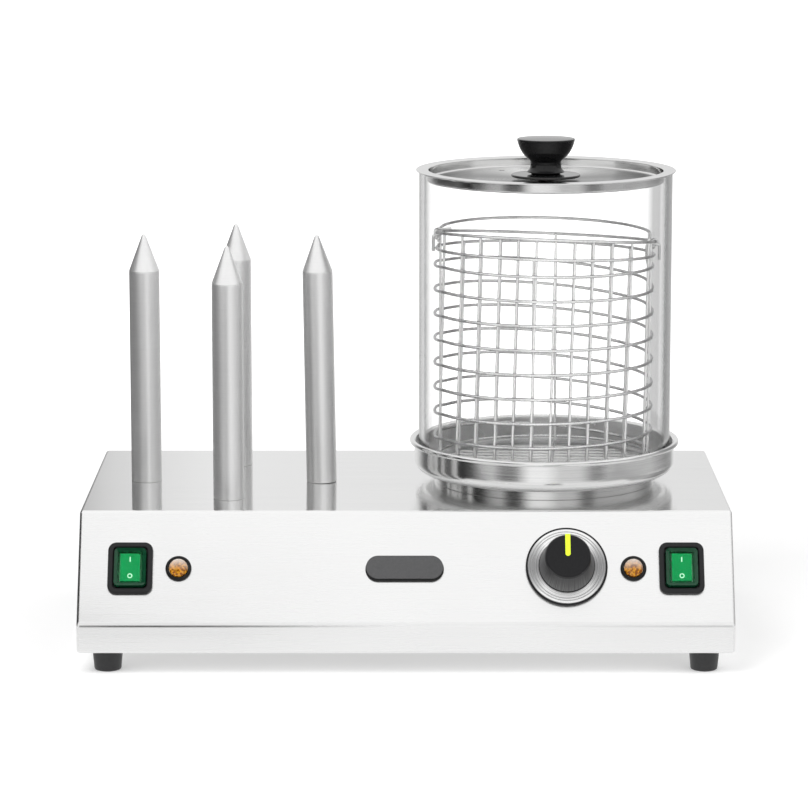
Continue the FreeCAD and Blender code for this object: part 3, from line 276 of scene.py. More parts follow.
lidSteel = turnedSteel("lidSteel", (0.78, 0.78, 0.775), (0.70, 0.70, 0.70), 0.08, depth=0.004)
# painted sheen and shade on the lid floor: bright in two fans, darker beside them
lidFloorSteelPaintedFans = turnedSteel("lidFloorSteelPaintedFans", (0.88, 0.88, 0.87), (0.78, 0.78, 0.78), 0.30, flat=True, stretch=0.85, paintedFans=0.18)
wireSteel = drawnSteel("wireSteel", 0.98, 0.34, 0.16, 0.85)
uprightSteel = drawnSteel("uprightSteel", 0.99, 0.50, 0.26, 0.5)
zincFinish = speckled("zincFinish", (0.66, 0.66, 0.64), (0.54, 0.54, 0.51), 0.34, 300, 0.2, Metallic=1.0)
castFinish = speckled("castFinish", (0.58, 0.58, 0.57), (0.46, 0.46, 0.45), 0.5, 420, 0.5, 0.08, Metallic=1.0)
sheathFinish = speckled("sheathFinish", (0.30, 0.27, 0.24), (0.20, 0.19, 0.19), 0.45, 260, 0.2, Metallic=1.0)
softSheen = {"Specular IOR Level": 0.2}
rubberFinish = speckled("rubberFinish", (0.018, 0.018, 0.019), (0.034, 0.034, 0.035), 0.48, 1600, 0.35)
bezelFinish = speckled("bezelFinish", (0.014, 0.014, 0.015), (0.028, 0.028, 0.029), 0.40, 2200, 0.35, **softSheen)
glossBlack = speckled("glossBlack", (0.010, 0.010, 0.011), (0.018, 0.018, 0.018), 0.09, 260, 0.04, 0.02)
knobBlack = speckled("knobBlack", (0.008, 0.008, 0.009), (0.014, 0.014, 0.014), 0.10, 260, 0.04, 0.02,
                     **{"Specular IOR Level": 0.28})
sheenBlack = speckled("sheenBlack", (0.008, 0.008, 0.008), (0.016, 0.016, 0.016), 0.25, 260, 0.1, 0.02, **softSheen)
dialBlack = speckled("dialBlack", (0.008, 0.008, 0.009), (0.016, 0.016, 0.017), 0.34, 1800, 0.2, 0.02, **softSheen)
badgeFace = speckled("badgeFace", (0.065, 0.065, 0.067), (0.13, 0.13, 0.132), 0.34, 2400, 0.4, 0.02, **softSheen)
# painted shade for the dial's grooves
groovePaintedShade = speckled("groovePaintedShade", (0.50, 0.50, 0.50), (0.40, 0.40, 0.40), 0.4, 900, 0.2, Metallic=0.6)
markWhite = speckled("markWhite", (0.86, 0.88, 0.86), (0.78, 0.80, 0.78), 0.45, 900, 0.1)
palePlastic = speckled("palePlastic", (0.78, 0.76, 0.69), (0.70, 0.68, 0.61), 0.42, 500, 0.15)
mattPlastic = speckled("mattPlastic", (0.022, 0.022, 0.023), (0.036, 0.036, 0.036), 0.45, 900, 0.2)
dishBrass = speckled("dishBrass", (0.95, 0.62, 0.20), (0.80, 0.42, 0.08), 0.22, 900, 0.2, Metallic=1.0)


def clearGlass():
    material, tree, shader = newFinish("clearGlass", (1.0, 1.0, 1.0), 0.0, 0.0)
    shader.inputs["Transmission Weight"].default_value = 1.0
    shader.inputs["IOR"].default_value = 1.47
    edgeOn = tree.nodes.new("ShaderNodeLayerWeight")    # painted shade: greyer where the wall is seen edge on
    edgeOn.inputs["Blend"].default_value = 0.5
    paintedEdgeShade = spread(tree, edgeOn.outputs["Facing"], 0, 1, 0.70, 0.84)
    tree.links.new(blended(tree, paintedEdgeShade, (1.0, 1.0, 1.0), (0.13, 0.135, 0.135)), shader.inputs["Base Color"])
    smear = noiseOf(tree, mapped(tree, (1, 1, 0.25), (towerX, towerY, 0)), 26, 3)
    tree.links.new(spread(tree, smear, 0.0, 0.02, 0.45, 0.75), shader.inputs["Roughness"])
    drawn = noiseOf(tree, mapped(tree, (60, 60, 3), (towerX, towerY, 0)), 1, 2)
    bumped(tree, shader, drawn, 0.05, 0.02)
    return material


def tinted(name, colour, deep, roughness, transmission, glow=0.0, scale=700.0, index=1.45):
    material, tree, shader = newFinish(name, colour, roughness)
    shader.inputs["Transmission Weight"].default_value = transmission
    shader.inputs["IOR"].default_value = index
    cloud = noiseOf(tree, mapped(tree), scale, 2)
    tree.links.new(blended(tree, spread(tree, cloud, 0, 1), colour, deep), shader.inputs["Base Color"])
    if glow:
        shader.inputs["Emission Color"].default_value = (*colour, 1)
        shader.inputs["Emission Strength"].default_value = glow
    bumped(tree, shader, cloud, 0.12, 0.03)
    return material


def amberLensPaintedReflection():
    # painted reflection: paler towards the top of the lens, with orange and brown mottled at random below
    material, tree, shader = newFinish("lensAmberPaintedReflection", (0.95, 0.46, 0.08), 0.05)
    shader.inputs["Transmission Weight"].default_value = 0.35
    shader.inputs["IOR"].default_value = 1.49
    parts = tree.nodes.new("ShaderNodeSeparateXYZ")
    tree.links.new(mapped(tree, (1, 1, 1), (0, front, foldHigh), (slope, 0, 0)), parts.inputs[0])
    # painted reflection: the lens turns pale towards its top
    paintedTopReflection = spread(tree, parts.outputs["Y"], 0, 1, (rowUp - 2.5) * mm, (rowUp + 6.5) * mm)
    cloud = noiseOf(tree, mapped(tree), 520, 2)
    deep = blended(tree, spread(tree, cloud, 0, 1, 0.44, 0.56), (1.0, 0.46, 0.03), (0.34, 0.11, 0.008))
    tree.links.new(blended(tree, paintedTopReflection, deep, (0.95, 0.86, 0.78)), shader.inputs["Base Color"])
    return material


def spunDialPaintedFans():
    # a turned ring: fine circles about the dial's own leaning axis, with a painted sheen that is bright in two fans and
    # painted shade beside them
    centre = (122.4, front + 45.7 * math.cos(slope), foldHigh + 45.7 * math.sin(slope))
    material, tree, shader = newFinish("spunDialPaintedFans", (0.86, 0.86, 0.855), 0.30, 0.4)
    reach = distanceOf(tree, mapped(tree, (1, 1, 0), centre, (slope, 0, 0)))
    circles = lineNoise(tree, reach, 2400, 2)
    parts = tree.nodes.new("ShaderNodeSeparateXYZ")
    tree.links.new(mapped(tree, (1, 1, 0), centre, (slope, 0, 0)), parts.inputs[0])
    aside = combined(tree, combined(tree, parts.outputs["X"], 0.0, "ABSOLUTE"), reach, "DIVIDE")
    # painted sheen and shade: pale in two fans, dull beside them
    paintedFans = spread(tree, aside, 1.0, 0.0, 0.68, 1.0)
    pale = blended(tree, paintedFans, (0.36, 0.36, 0.365), (0.99, 0.99, 0.985))
    dull = blended(tree, paintedFans, (0.20, 0.20, 0.20), (0.92, 0.92, 0.92))
    tree.links.new(blended(tree, spread(tree, circles, 0, 1, 0.35, 0.6), dull, pale), shader.inputs["Base Color"])
    tree.links.new(spread(tree, circles, 0.22, 0.32), shader.inputs["Roughness"])
    bumped(tree, shader, circles, 0.4, 0.03)
    return material


def knobSidePaintedSheen():
    # moulded knob with fine lines that run up its side, and a painted sheen that makes it paler low down, near the
    # slope
    centre = (122.4, front + 45.7 * math.cos(slope), foldHigh + 45.7 * math.sin(slope))
    material, tree, shader = newFinish("knobSidePaintedSheen", (0.022, 0.022, 0.023), 0.33)
    turnNode = tree.nodes.new("ShaderNodeTexGradient")
    turnNode.gradient_type = "RADIAL"
    tree.links.new(mapped(tree, (1, 1, 1), centre, (slope, 0, 0)), turnNode.inputs["Vector"])
    lines = lineNoise(tree, turnNode.outputs["Fac"], 190, 1)
    parts = tree.nodes.new("ShaderNodeSeparateXYZ")
    tree.links.new(mapped(tree, (1, 1, 1), centre, (slope, 0, 0)), parts.inputs[0])
    # painted sheen: paler low on the knob, darker towards its top
    paintedFootSheen = spread(tree, parts.outputs["Z"], 1.0, 0.0, 5 * mm, 24 * mm)
    dark = blended(tree, paintedFootSheen, (0.006, 0.006, 0.007), (0.030, 0.030, 0.031))
    pale = blended(tree, paintedFootSheen, (0.022, 0.022, 0.023), (0.19, 0.19, 0.19))
    tree.links.new(blended(tree, spread(tree, lines, 0, 1), dark, pale), shader.inputs["Base Color"])
    bumped(tree, shader, lines, 0.35, 0.08)
    return material


glassFinish = clearGlass()
bootClear = tinted("bootClear", (0.72, 0.93, 0.80), (0.64, 0.90, 0.74), 0.0, 1.0, index=1.1)
bootGreen = tinted("bootGreen", (0.004, 0.075, 0.030), (0.002, 0.045, 0.018), 0.16, 0.15)
rockerGreen = tinted("rockerGreen", (0.003, 0.20, 0.070), (0.003, 0.17, 0.058), 0.35, 0.0, 0.22, index=1.25)
# painted glow: the pointer gives off light of its own, though it holds no lamp
pointerLimePaintedGlow = tinted("pointerLimePaintedGlow", (0.72, 0.90, 0.04), (0.66, 0.84, 0.03), 0.4, 0.0, 0.25)
lensAmberPaintedReflection = amberLensPaintedReflection()
dialSilverPaintedFans = spunDialPaintedFans()
knobRibbedPaintedSheen = knobSidePaintedSheen()


def spikeSteel():
    material, tree, shader = newFinish("spikeSteel", (0.93, 0.93, 0.925), 0.43, 0.86)
    lines = noiseOf(tree, mapped(tree, (30, 30, 1700)), detail=2)
    streak = noiseOf(tree, mapped(tree, (220, 220, 4)), detail=2)
    mix = combined(tree, combined(tree, lines, streak, "ADD"), 0.5)
    tree.links.new(blended(tree, spread(tree, mix, 0, 1), (0.88, 0.88, 0.88), (0.95, 0.95, 0.945)),
                   shader.inputs["Base Color"])
    tree.links.new(spread(tree, mix, 0.40, 0.46), shader.inputs["Roughness"])
    bumped(tree, shader, lines, 0.08, 0.01)
    return material


spikeFinish = spikeSteel()
print("finishes made")


# Mesh helpers

def makePiece(name, bm, finishes, body, nodes=(), edge=0.0, rounds=3, sharp=32, outward=True):
    if outward:
        bmesh.ops.recalc_face_normals(bm, faces=bm.faces)
    data = bpy.data.meshes.new(name)
    bm.to_mesh(data)
    bm.free()
    data.shade_smooth()
    data.set_sharp_from_angle(angle=math.radians(sharp))
    piece = bpy.data.objects.new(name, data)
    scene.collection.objects.link(piece)
    for material in finishes:
        data.materials.append(material)
    if edge:
        soft = piece.modifiers.new("softEdges", "BEVEL")
        soft.width = edge * mm
        soft.segments = rounds
        soft.limit_method = "ANGLE"
        soft.angle_limit = math.radians(sharp)
        soft.harden_normals = True
    weigh = piece.modifiers.new("evenNormals", "WEIGHTED_NORMAL")
    weigh.keep_sharp = True
    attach(piece, body)
    if nodes:
        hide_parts(*nodes)
    return piece


def pour(bm, part, matrix=Matrix(), finish=0):
    # moves one finished form into the piece's mesh, at its place
    bmesh.ops.transform(part, matrix=matrix, verts=part.verts)
    for face in part.faces:
        face.material_index = finish
    data = bpy.data.meshes.new("part")
    part.to_mesh(data)
    part.free()
    bm.from_mesh(data)
    bpy.data.meshes.remove(data)


def spun(profile, steps=128):
    # turns (radius, height) points about the upright axis; a profile that leaves the axis is closed
    bm = bmesh.new()
    points = [bm.verts.new((radius * mm, 0, high * mm)) for radius, high in profile]
    pairs = list(zip(points, points[1:]))
    if profile[0][0] > 0 or profile[-1][0] > 0:
        pairs.append((points[-1], points[0]))
    edges = [bm.edges.new(pair) for pair in pairs]
    bmesh.ops.spin(bm, geom=points + edges, cent=(0, 0, 0), axis=(0, 0, 1), angle=wholeTurn, steps=steps,
                   use_merge=True)
    bmesh.ops.remove_doubles(bm, verts=bm.verts, dist=1e-6)
    bmesh.ops.recalc_face_normals(bm, faces=bm.faces)
    return bm


def arc(x, z, radius, start, end, count=6):
    angles = [math.radians(start + (end - start) * k / count) for k in range(count + 1)]
    return [(x + radius * math.cos(a), z + radius * math.sin(a)) for a in angles]


def plateFace(wide, tall, corner, rounds=6):
    bm = bmesh.new()
    half = [(-wide, -tall), (wide, -tall), (wide, tall), (-wide, tall)]
    corners = [bm.verts.new((x * mm / 2, y * mm / 2, 0)) for x, y in half]
    bm.faces.new(corners)
    bmesh.ops.bevel(bm, geom=bm.verts[:], offset=corner * mm, offset_type="OFFSET", segments=rounds, profile=0.5,
                    affect="VERTICES", material=-1)
    return bm


def raised(bm, high):
    made = bmesh.ops.extrude_face_region(bm, geom=bm.faces[:])
    lifted = [item for item in made["geom"] if isinstance(item, bmesh.types.BMVert)]
    bmesh.ops.translate(bm, vec=(0, 0, high * mm), verts=lifted)
    bmesh.ops.recalc_face_normals(bm, faces=bm.faces)
    return bm


def plateBlock(wide, tall, high, corner, low=0.0, rounds=6):
    bm = raised(plateFace(wide, tall, corner, rounds), high - low)
    bmesh.ops.translate(bm, vec=(0, 0, low * mm), verts=bm.verts)
    return bm


def wireRing(radius, wire, degrees=360.0, steps=96, sides=10):
    bm = bmesh.new()
    stand = Matrix.Translation((radius * mm, 0, 0)) @ turnBy(90, "X")
    bmesh.ops.create_circle(bm, cap_ends=degrees < 360, segments=sides, radius=wire * mm, matrix=stand)
    whole = degrees == 360.0
    start = [face for face in bm.faces]
    made = bmesh.ops.spin(bm, geom=bm.verts[:] + bm.edges[:] + start, cent=(0, 0, 0), axis=(0, 0, 1),
                          angle=math.radians(degrees), steps=steps, use_merge=whole)
    bmesh.ops.recalc_face_normals(bm, faces=bm.faces)
    return bm


def wireRun(start, end, wire, sides=10):
    start, end = Vector(start) * mm, Vector(end) * mm
    along = end - start
    bm = bmesh.new()
    aim = Matrix.Translation((start + end) / 2) @ along.to_track_quat("Z", "Y").to_matrix().to_4x4()
    bmesh.ops.create_cone(bm, cap_ends=True, segments=sides, radius1=wire * mm, radius2=wire * mm,
                          depth=along.length, matrix=aim)
    caps = [edge for edge in bm.edges if any(len(face.verts) > 4 for face in edge.link_faces)]
    bmesh.ops.bevel(bm, geom=caps, offset=wire * 0.35 * mm, segments=2, profile=0.5, affect="EDGES", material=-1)
    return bm


def drawnWire(points, wire, sides=10):
    # draws one wire through a run of points, out of its own end face
    points = [Vector(point) * mm for point in points]
    ways = [(after - before).normalized() for before, after in zip([points[0]] + points[:-1], points[1:] + [points[-1]])]
    bm = bmesh.new()
    aim = Matrix.Translation(points[0]) @ ways[0].to_track_quat("Z", "Y").to_matrix().to_4x4()
    bmesh.ops.create_circle(bm, cap_ends=True, segments=sides, radius=wire * mm, matrix=aim)
    tip = bm.faces[:]
    for here, there, way, nextWay in zip(points, points[1:], ways, ways[1:]):
        made = bmesh.ops.extrude_face_region(bm, geom=tip)
        verts = [item for item in made["geom"] if isinstance(item, bmesh.types.BMVert)]
        tip = [item for item in made["geom"] if isinstance(item, bmesh.types.BMFace)]
        swing = way.rotation_difference(nextWay).to_matrix().to_4x4()
        bmesh.ops.transform(bm, matrix=Matrix.Translation(there) @ swing @ Matrix.Translation(-here), verts=verts)
    bmesh.ops.recalc_face_normals(bm, faces=bm.faces)
    return bm


def roundedPath(corners, radius, count=6):
    # rounds the inner corners of a run of straight pieces
    points = [Vector(corner) for corner in corners]
    path = [points[0]]
    for before, corner, after in zip(points, points[1:], points[2:]):
        first = corner + (before - corner).normalized() * radius
        last = corner + (after - corner).normalized() * radius
        for k in range(count + 1):
            t = k / count
            path.append(first * (1 - t) ** 2 + corner * 2 * t * (1 - t) + last * t * t)
    path.append(points[-1])
    return [tuple(point) for point in path]


def repaint(node, *finishes):
    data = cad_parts[node].data
    data.materials.clear()
    for material in finishes:
        data.materials.append(material)


# Housing shell: one bent sheet with welded ends

housing = {"wide": 500.0, "low": 17.0, "bend": 2.4, "sheet": 1.2, "flange": 30.0}


def buildHousing():
    bm = bmesh.new()
    outline = [(front, housing["low"]), (front, foldHigh), (front + 46.8, deckHigh), (back, deckHigh),
               (back, housing["low"])]
    corners = [bm.verts.new((-housing["wide"] / 2 * mm, y * mm, z * mm)) for y, z in outline]
    end = bm.faces.new(corners)
    made = bmesh.ops.extrude_face_region(bm, geom=[end])
    moved = [item for item in made["geom"] if isinstance(item, bmesh.types.BMVert)]
    bmesh.ops.translate(bm, vec=(housing["wide"] * mm, 0, 0), verts=moved)
    bmesh.ops.recalc_face_normals(bm, faces=bm.faces)
    bmesh.ops.bevel(bm, geom=bm.edges[:], offset=housing["bend"] * mm, segments=5, profile=0.5, affect="EDGES",
                    material=-1)
    flat = [face for face in bm.faces if face.normal.z < -0.99 or face.normal.y > 0.99]
    flat = sorted(flat, key=lambda face: -face.calc_area())[:2]
    for face in flat:
        bmesh.ops.inset_region(bm, faces=[face], thickness=housing["flange"] * mm)
    bmesh.ops.delete(bm, geom=flat, context="FACES")
    for face in bm.faces:
        if abs(face.normal.x) > 0.8:
            face.material_index = 2
        elif face.normal.z > 0.95:
            face.material_index = 1
        elif face.calc_center_median().z < (foldHigh + 4) * mm and -0.98 < face.normal.y < -0.88:
            face.material_index = 4
    shell = makePiece("housingShell", bm, [sheetFront, sheetDeck, sheetSide, sheetFront, foldSteel, sheetInside], "housing",
                      ["housing_shell"], outward=False)
    wall = shell.modifiers.new("sheetWall", "SOLIDIFY")
    wall.thickness = housing["sheet"] * mm
    wall.offset = -1
    wall.material_offset = 5
    shell.modifiers.move(1, 0)


buildHousing()
print("housing done")

# Feet

feet = {"x": 228.0, "y": 126.0, "mid": -2.494, "top": 12.0, "low": 10.4}


def buildFeet():
    bm = bmesh.new()
    profile = [(0, 7.0), (5.5, 7.0), (5.5, 0.5), (6.0, 0.0)]
    profile += arc(feet["low"] - 1.6, 1.6, 1.6, -90, -5, 6)
    profile += [(feet["top"] - 0.25, 16.4), (feet["top"] - 0.6, 17.0), (0, 17.0)]
    for x in (-feet["x"], feet["x"]):
        for y in (-feet["y"], feet["y"]):
            pour(bm, spun(profile, 64), place(x, feet["mid"] + y))
    makePiece("rubberFeet", bm, [rubberFinish], "housing", ["rubber_feet"])


buildFeet()
print("feet done")

# Heated spikes

spikes = {
    "left": (-207.1, 166.8, 0.0),
    "front": (-138.1, 95.6, 0.0),
    "back": (-137.3, 233.2, 0.0),
    "right": (-67.2, 162.7, 0.9),
}
spikeForm = {"radius": 12.0, "tube": 169.3, "whole": 198.3, "neck": 8.0}


def buildSpikes():
    radius, tube, whole = spikeForm["radius"], spikeForm["tube"], spikeForm["whole"]
    profile = [(0, -13), (spikeForm["neck"], -13), (spikeForm["neck"], 0), (radius - 0.35, 0), (radius, 0.35),
               (radius, 3.0), (radius, tube - 1.4), (radius, tube - 0.9), (radius - 0.12, tube - 0.55),
               (radius - 0.12, tube - 0.35), (radius - 0.02, tube - 0.1), (radius - 0.3, tube + 0.65),
               (1.9, whole - 2.0), (1.25, whole - 0.75), (0.6, whole - 0.2), (0, whole)]
    for side, (x, inward, lean) in spikes.items():
        bm = spun(profile, 96)
        lift = 0.2 if lean else 0.0
        bmesh.ops.transform(bm, matrix=place(x, front + inward, deckHigh + lift) @ turnBy(-lean, "Y"), verts=bm.verts)
        makePiece(side + "Spike", bm, [spikeFinish], "housing", [side + "_spike"], sharp=24)


buildSpikes()
print("spikes done")

# Heater collar and water pan

collar = {"radius": 87.7, "wall": 1.5, "top": 126.1, "flange": 80.0}


def buildCollar():
    radius, top = collar["radius"], collar["top"]
    profile = [(collar["flange"], deckHigh), (radius - 0.4, deckHigh), (radius, deckHigh + 0.4)]
    profile += [(radius, top - 1.6)] + arc(radius - 0.75, top - 0.75, 0.75, 0, 180, 8)
    profile += [(radius - collar["wall"], top - 1.6), (radius - collar["wall"], deckHigh + 1.2),
                (collar["flange"], deckHigh + 1.2)]
    bm = spun(profile, 160)
    bmesh.ops.transform(bm, matrix=onTower, verts=bm.verts)
    makePiece("heaterCollar", bm, [collarSteel], "housing", ["heater_collar"])


pan = {"radius": 103.5, "wall": 1.2, "low": 126.2, "round": 9.0, "beadMid": 105.25, "beadHigh": 150.0, "bead": 2.1}


def buildPan():
    radius, low, corner, wall = pan["radius"], pan["low"], pan["round"], pan["wall"]
    outside = [(0, low), (60, low), (radius - corner - 1.5, low)]
    outside += arc(radius - corner, low + corner, corner, -90, 0, 10)
    outside += [(radius, low + corner + 1.5), (radius, 146.8)]
    rim = arc(pan["beadMid"], pan["beadHigh"], pan["bead"], -140, 150, 18)
    inside = [(102.75, 150.85), (102.36, 150.3), (102.3, 149.4), (102.3, low + corner + 1.5)]
    inside += arc(radius - corner, low + corner, corner - wall, 0, -90, 10)
    inside += [(radius - corner - 1.5, low + wall), (60, low + wall), (0, low + wall)]
    bm = spun(outside + rim + inside, 192)
    for face in bm.faces:
        middle = face.calc_center_median()
        reach = math.hypot(middle.x, middle.y) / mm
        if reach < 102.6 and (middle.z > (low + 0.6) * mm or reach < radius - corner):
            face.material_index = 1
    bmesh.ops.transform(bm, matrix=onTower, verts=bm.verts)
    makePiece("waterPan", bm, [panSteel, panFloorSteel], "pan", ["water_pan"], sharp=40)


buildCollar()
buildPan()
print("collar and pan done")

# Glass cylinder

glass = {"radius": 100.15, "wall": 4.0, "low": 130.1, "top": 366.0, "edge": 0.9}


def buildGlass():
    outer, inner, edge = glass["radius"], glass["radius"] - glass["wall"], glass["edge"]
    low, top = glass["low"], glass["top"]
    profile = arc(outer - edge, low + edge, edge, -90, 0, 5) + [(outer, low + edge + 0.5), (outer, top - edge - 0.5)]
    profile += arc(outer - edge, top - edge, edge, 0, 90, 5) + arc(inner + edge, top - edge, edge, 90, 180, 5)
    profile += [(inner, top - edge - 0.5), (inner, low + edge + 0.5)] + arc(inner + edge, low + edge, edge, 180, 270, 5)
    bm = spun(profile, 192)
    bmesh.ops.transform(bm, matrix=onTower, verts=bm.verts)
    makePiece("glassCylinder", bm, [glassFinish], "glass", ["glass_cylinder"], sharp=60)


buildGlass()
print("glass done")

# Lid: a pressed dish with a flat flange, a steam vent and a black knob

lid = {"radius": 102.7, "dish": 93.5, "low": 366.1, "floor": 357.9, "thick": 1.0, "ventX": -32.8, "ventY": 64.5,
       "vent": 2.4}


def buildLid():
    radius, dish, low, floor, thick = lid["radius"], lid["dish"], lid["low"], lid["floor"], lid["thick"]
    top = low + thick
    profile = [(2.8, floor), (80, floor), (82, floor + 0.25), (dish - 2.6, floor + 0.25)]
    profile += arc(dish - 2.0, floor + 2.25, 2.0, -90, 0, 6) + [(dish, low - 1.2)]
    profile += [(dish + 0.3, low - 0.3), (dish + 1.0, low), (radius - 1.2, low)]
    profile += arc(radius - 0.5, low + 0.5, 0.5, -90, 90, 8) + [(radius - 1.2, top), (dish + 0.4, top)]
    profile += arc(dish + 0.2, top - 1.2, 1.2, 90, 180, 6)[1:] + [(dish - thick, low - 1.8)]
    profile += [(dish - thick, floor + 3.4)] + arc(dish - 2.2, floor + 2.45, 1.2, 0, -90, 5)
    profile += [(dish - 3.4, floor + 1.25), (82.4, floor + 1.25), (80.2, floor + thick), (2.8, floor + thick)]
    bm = spun(profile, 192)
    for face in bm.faces:
        middle = face.calc_center_median()
        if middle.z < (floor + 1.4) * mm and math.hypot(middle.x, middle.y) < (dish - 3) * mm:
            face.material_index = 1
    bmesh.ops.transform(bm, matrix=onTower, verts=bm.verts)
    piece = makePiece("lidDish", bm, [lidSteel, lidFloorSteelPaintedFans, lidSteel], "lid",
                      ["lid_dish", "lid_flange"], sharp=40)
    punch = bmesh.new()
    bmesh.ops.create_cone(punch, cap_ends=True, segments=32, radius1=lid["vent"] * mm, radius2=lid["vent"] * mm,
                          depth=6 * mm, matrix=place(towerX + lid["ventX"], towerY + lid["ventY"], floor + 0.5))
    data = bpy.data.meshes.new("ventPunch")
    punch.to_mesh(data)
    punch.free()
    cutter = bpy.data.objects.new("ventPunch", data)
    scene.collection.objects.link(cutter)
    hole = piece.modifiers.new("vent", "BOOLEAN")
    hole.object = cutter
    hole.solver = "EXACT"
    piece.modifiers.move(1, 0)
    bpy.context.view_layer.update()
    solid = bpy.data.meshes.new_from_object(piece.evaluated_get(bpy.context.evaluated_depsgraph_get()))
    piece.modifiers.clear()
    piece.data = solid
    bpy.data.objects.remove(cutter)


def buildLidKnob():
    floor = lid["floor"] + lid["thick"]
    disc = [(0, floor), (6.0, floor), (6.0, floor + 2.3), (26.2, floor + 2.3)]
    disc += arc(26.35, floor + 3.35, 1.05, -90, 80, 8) + [(25.4, floor + 4.2), (13.0, floor + 4.4), (0, floor + 4.4)]
    bm = spun(disc, 96)
    bmesh.ops.transform(bm, matrix=onTower, verts=bm.verts)
    makePiece("lidKnobBase", bm, [glossBlack], "lid", ["lid_knob_base"], sharp=40)
    low = floor + 4.4
    profile = [(0, low), (11.2, low), (11.6, low + 0.3), (11.7, low + 0.8), (13.9, low + 1.3), (14.7, low + 1.6),
               (14.8, low + 2.0), (14.3, low + 2.6), (13.1, low + 3.8), (12.4, low + 5.4), (12.1, low + 7.4),
               (12.15, low + 9.6), (12.6, low + 10.4), (13.4, low + 11.2), (14.9, low + 12.5), (17.3, low + 15.0),
               (19.0, low + 17.3), (20.4, low + 19.8), (21.5, low + 22.3), (22.3, low + 24.7), (22.8, low + 26.6),
               (22.88, low + 27.3),
               (22.88, low + 27.8), (22.4, low + 28.15), (21.6, low + 28.25), (18.0, low + 28.5), (12.0, low + 28.72),
               (6.0, low + 28.84), (0, low + 28.88)]
    bm = spun(profile, 96)
    for face in bm.faces:
        if face.calc_center_median().z > (low + 27.6) * mm:
            face.material_index = 1
    bmesh.ops.transform(bm, matrix=onTower, verts=bm.verts)
    makePiece("lidKnob", bm, [knobBlack, glossBlack], "lid", ["lid_knob"], sharp=50)


buildLid()
buildLidKnob()
print("lid done")

# Wire basket

basket = {
    "wire": 1.05, "thick": 1.2, "upright": 84.1, "ring": 86.2, "turn": 2.28,
    "fronts": [(-83.51, -78.03), (-67.98, -63.52), (-53.79, -49.31), (-38.69, -34.29), (-24.84, -20.4), (-10.97, -6.24),
               (3.87, 8.17), (18.58, 22.93), (32.72, 36.89), (47.53, 51.76), (61.71, 66.73)],
    "backs": [(-83.54, -83.77), (-69.92, -66.11), (-55.7, -51.81), (-40.11, -36.26), (-25.56, -21.65), (-9.7, -9.46),
              (9.06, 8.58), (20.44, 24.26), (35.23, 38.88), (50.5, 54.16), (64.77, 69.01)],
    "seams": [(77.72, 80.44), (81.14, 82.84)],
    "crossHigh": 130.85, "longHigh": 132.95, "footHigh": 128.75, "footRing": 60.0, "baseRing": 137.5,
    "topMid": 313.7, "topRise": 5.4, "topFall": 2.4, "hoopMid": 302.5, "hoopRise": 2.5, "hoopFall": 1.6,
}
winding = {
    "turns": 8, "radius": 86.35, "aside": -1.1, "low": 159.09, "pitch": 19.13, "fall": -1.26, "fallStep": 0.266,
    "backLow": 147.15, "backPitch": 19.5, "backFall": 3.9, "backFallStep": 0.107, "steps": 80,
}
caged = onTower @ turnBy(-basket["turn"], "Z")


def depthAt(across):
    return math.sqrt(basket["upright"] ** 2 - across ** 2)


def slopeHigh(name, x, y):
    return (basket[name + "Mid"] - math.tan(math.radians(basket[name + "Rise"])) * y
            - math.tan(math.radians(basket[name + "Fall"])) * x)


def slopedRing(name):
    lean = Vector((-basket[name + "Rise"], basket[name + "Fall"], 0))
    tilt = Matrix.Rotation(math.radians(lean.length), 4, lean)
    return place(towerX, towerY, basket[name + "Mid"]) @ tilt


def windHigh(k, x, isFront):
    # height of one half turn of the wound wire; every half falls to the right by its own angle
    part = "" if isFront else "back"
    low, pitch, fall, step = [winding[part + word if not part else part + word[0].upper() + word[1:]]
                              for word in ("low", "pitch", "fall", "fallStep")]
    return low + pitch * k - x * math.tan(math.radians(fall + step * k))


def easedIn(value, low, high):
    share = min(max((value - low) / (high - low), 0), 1)
    return share * share * (3 - 2 * share)


def windingPath():
    # from the top at the right, round the front and back down to the base: one wire, as a wide helix
    points = []
    turns, steps = winding["turns"], winding["steps"]
    for j in range(steps * turns + 1):
        k = turns - 1 - min(j // steps, turns - 1)
        angle = 360.0 * (j - (turns - 1 - k) * steps) / steps
        x = winding["radius"] * math.cos(math.radians(angle)) + winding["aside"]
        y = -winding["radius"] * math.sin(math.radians(angle))
        isFront = angle <= 180
        own = windHigh(k, x, isFront)
        other = windHigh(k, x, not isFront)
        fromLeft = abs(angle - 180)
        if fromLeft < 90:
            both = (own + other) / 2
            high = both + (own - both) * easedIn(fromLeft, 8, 26)
        else:
            nearby = windHigh(k + 1, x, False) if isFront else windHigh(k - 1, x, True)
            atEnd = (isFront and k == turns - 1) or (not isFront and k == 0)
            both = own if atEnd else (own + nearby) / 2
            high = both + (own - both) * easedIn(180 - fromLeft, 0, 22)
        points.append((x, y, high))
    return points


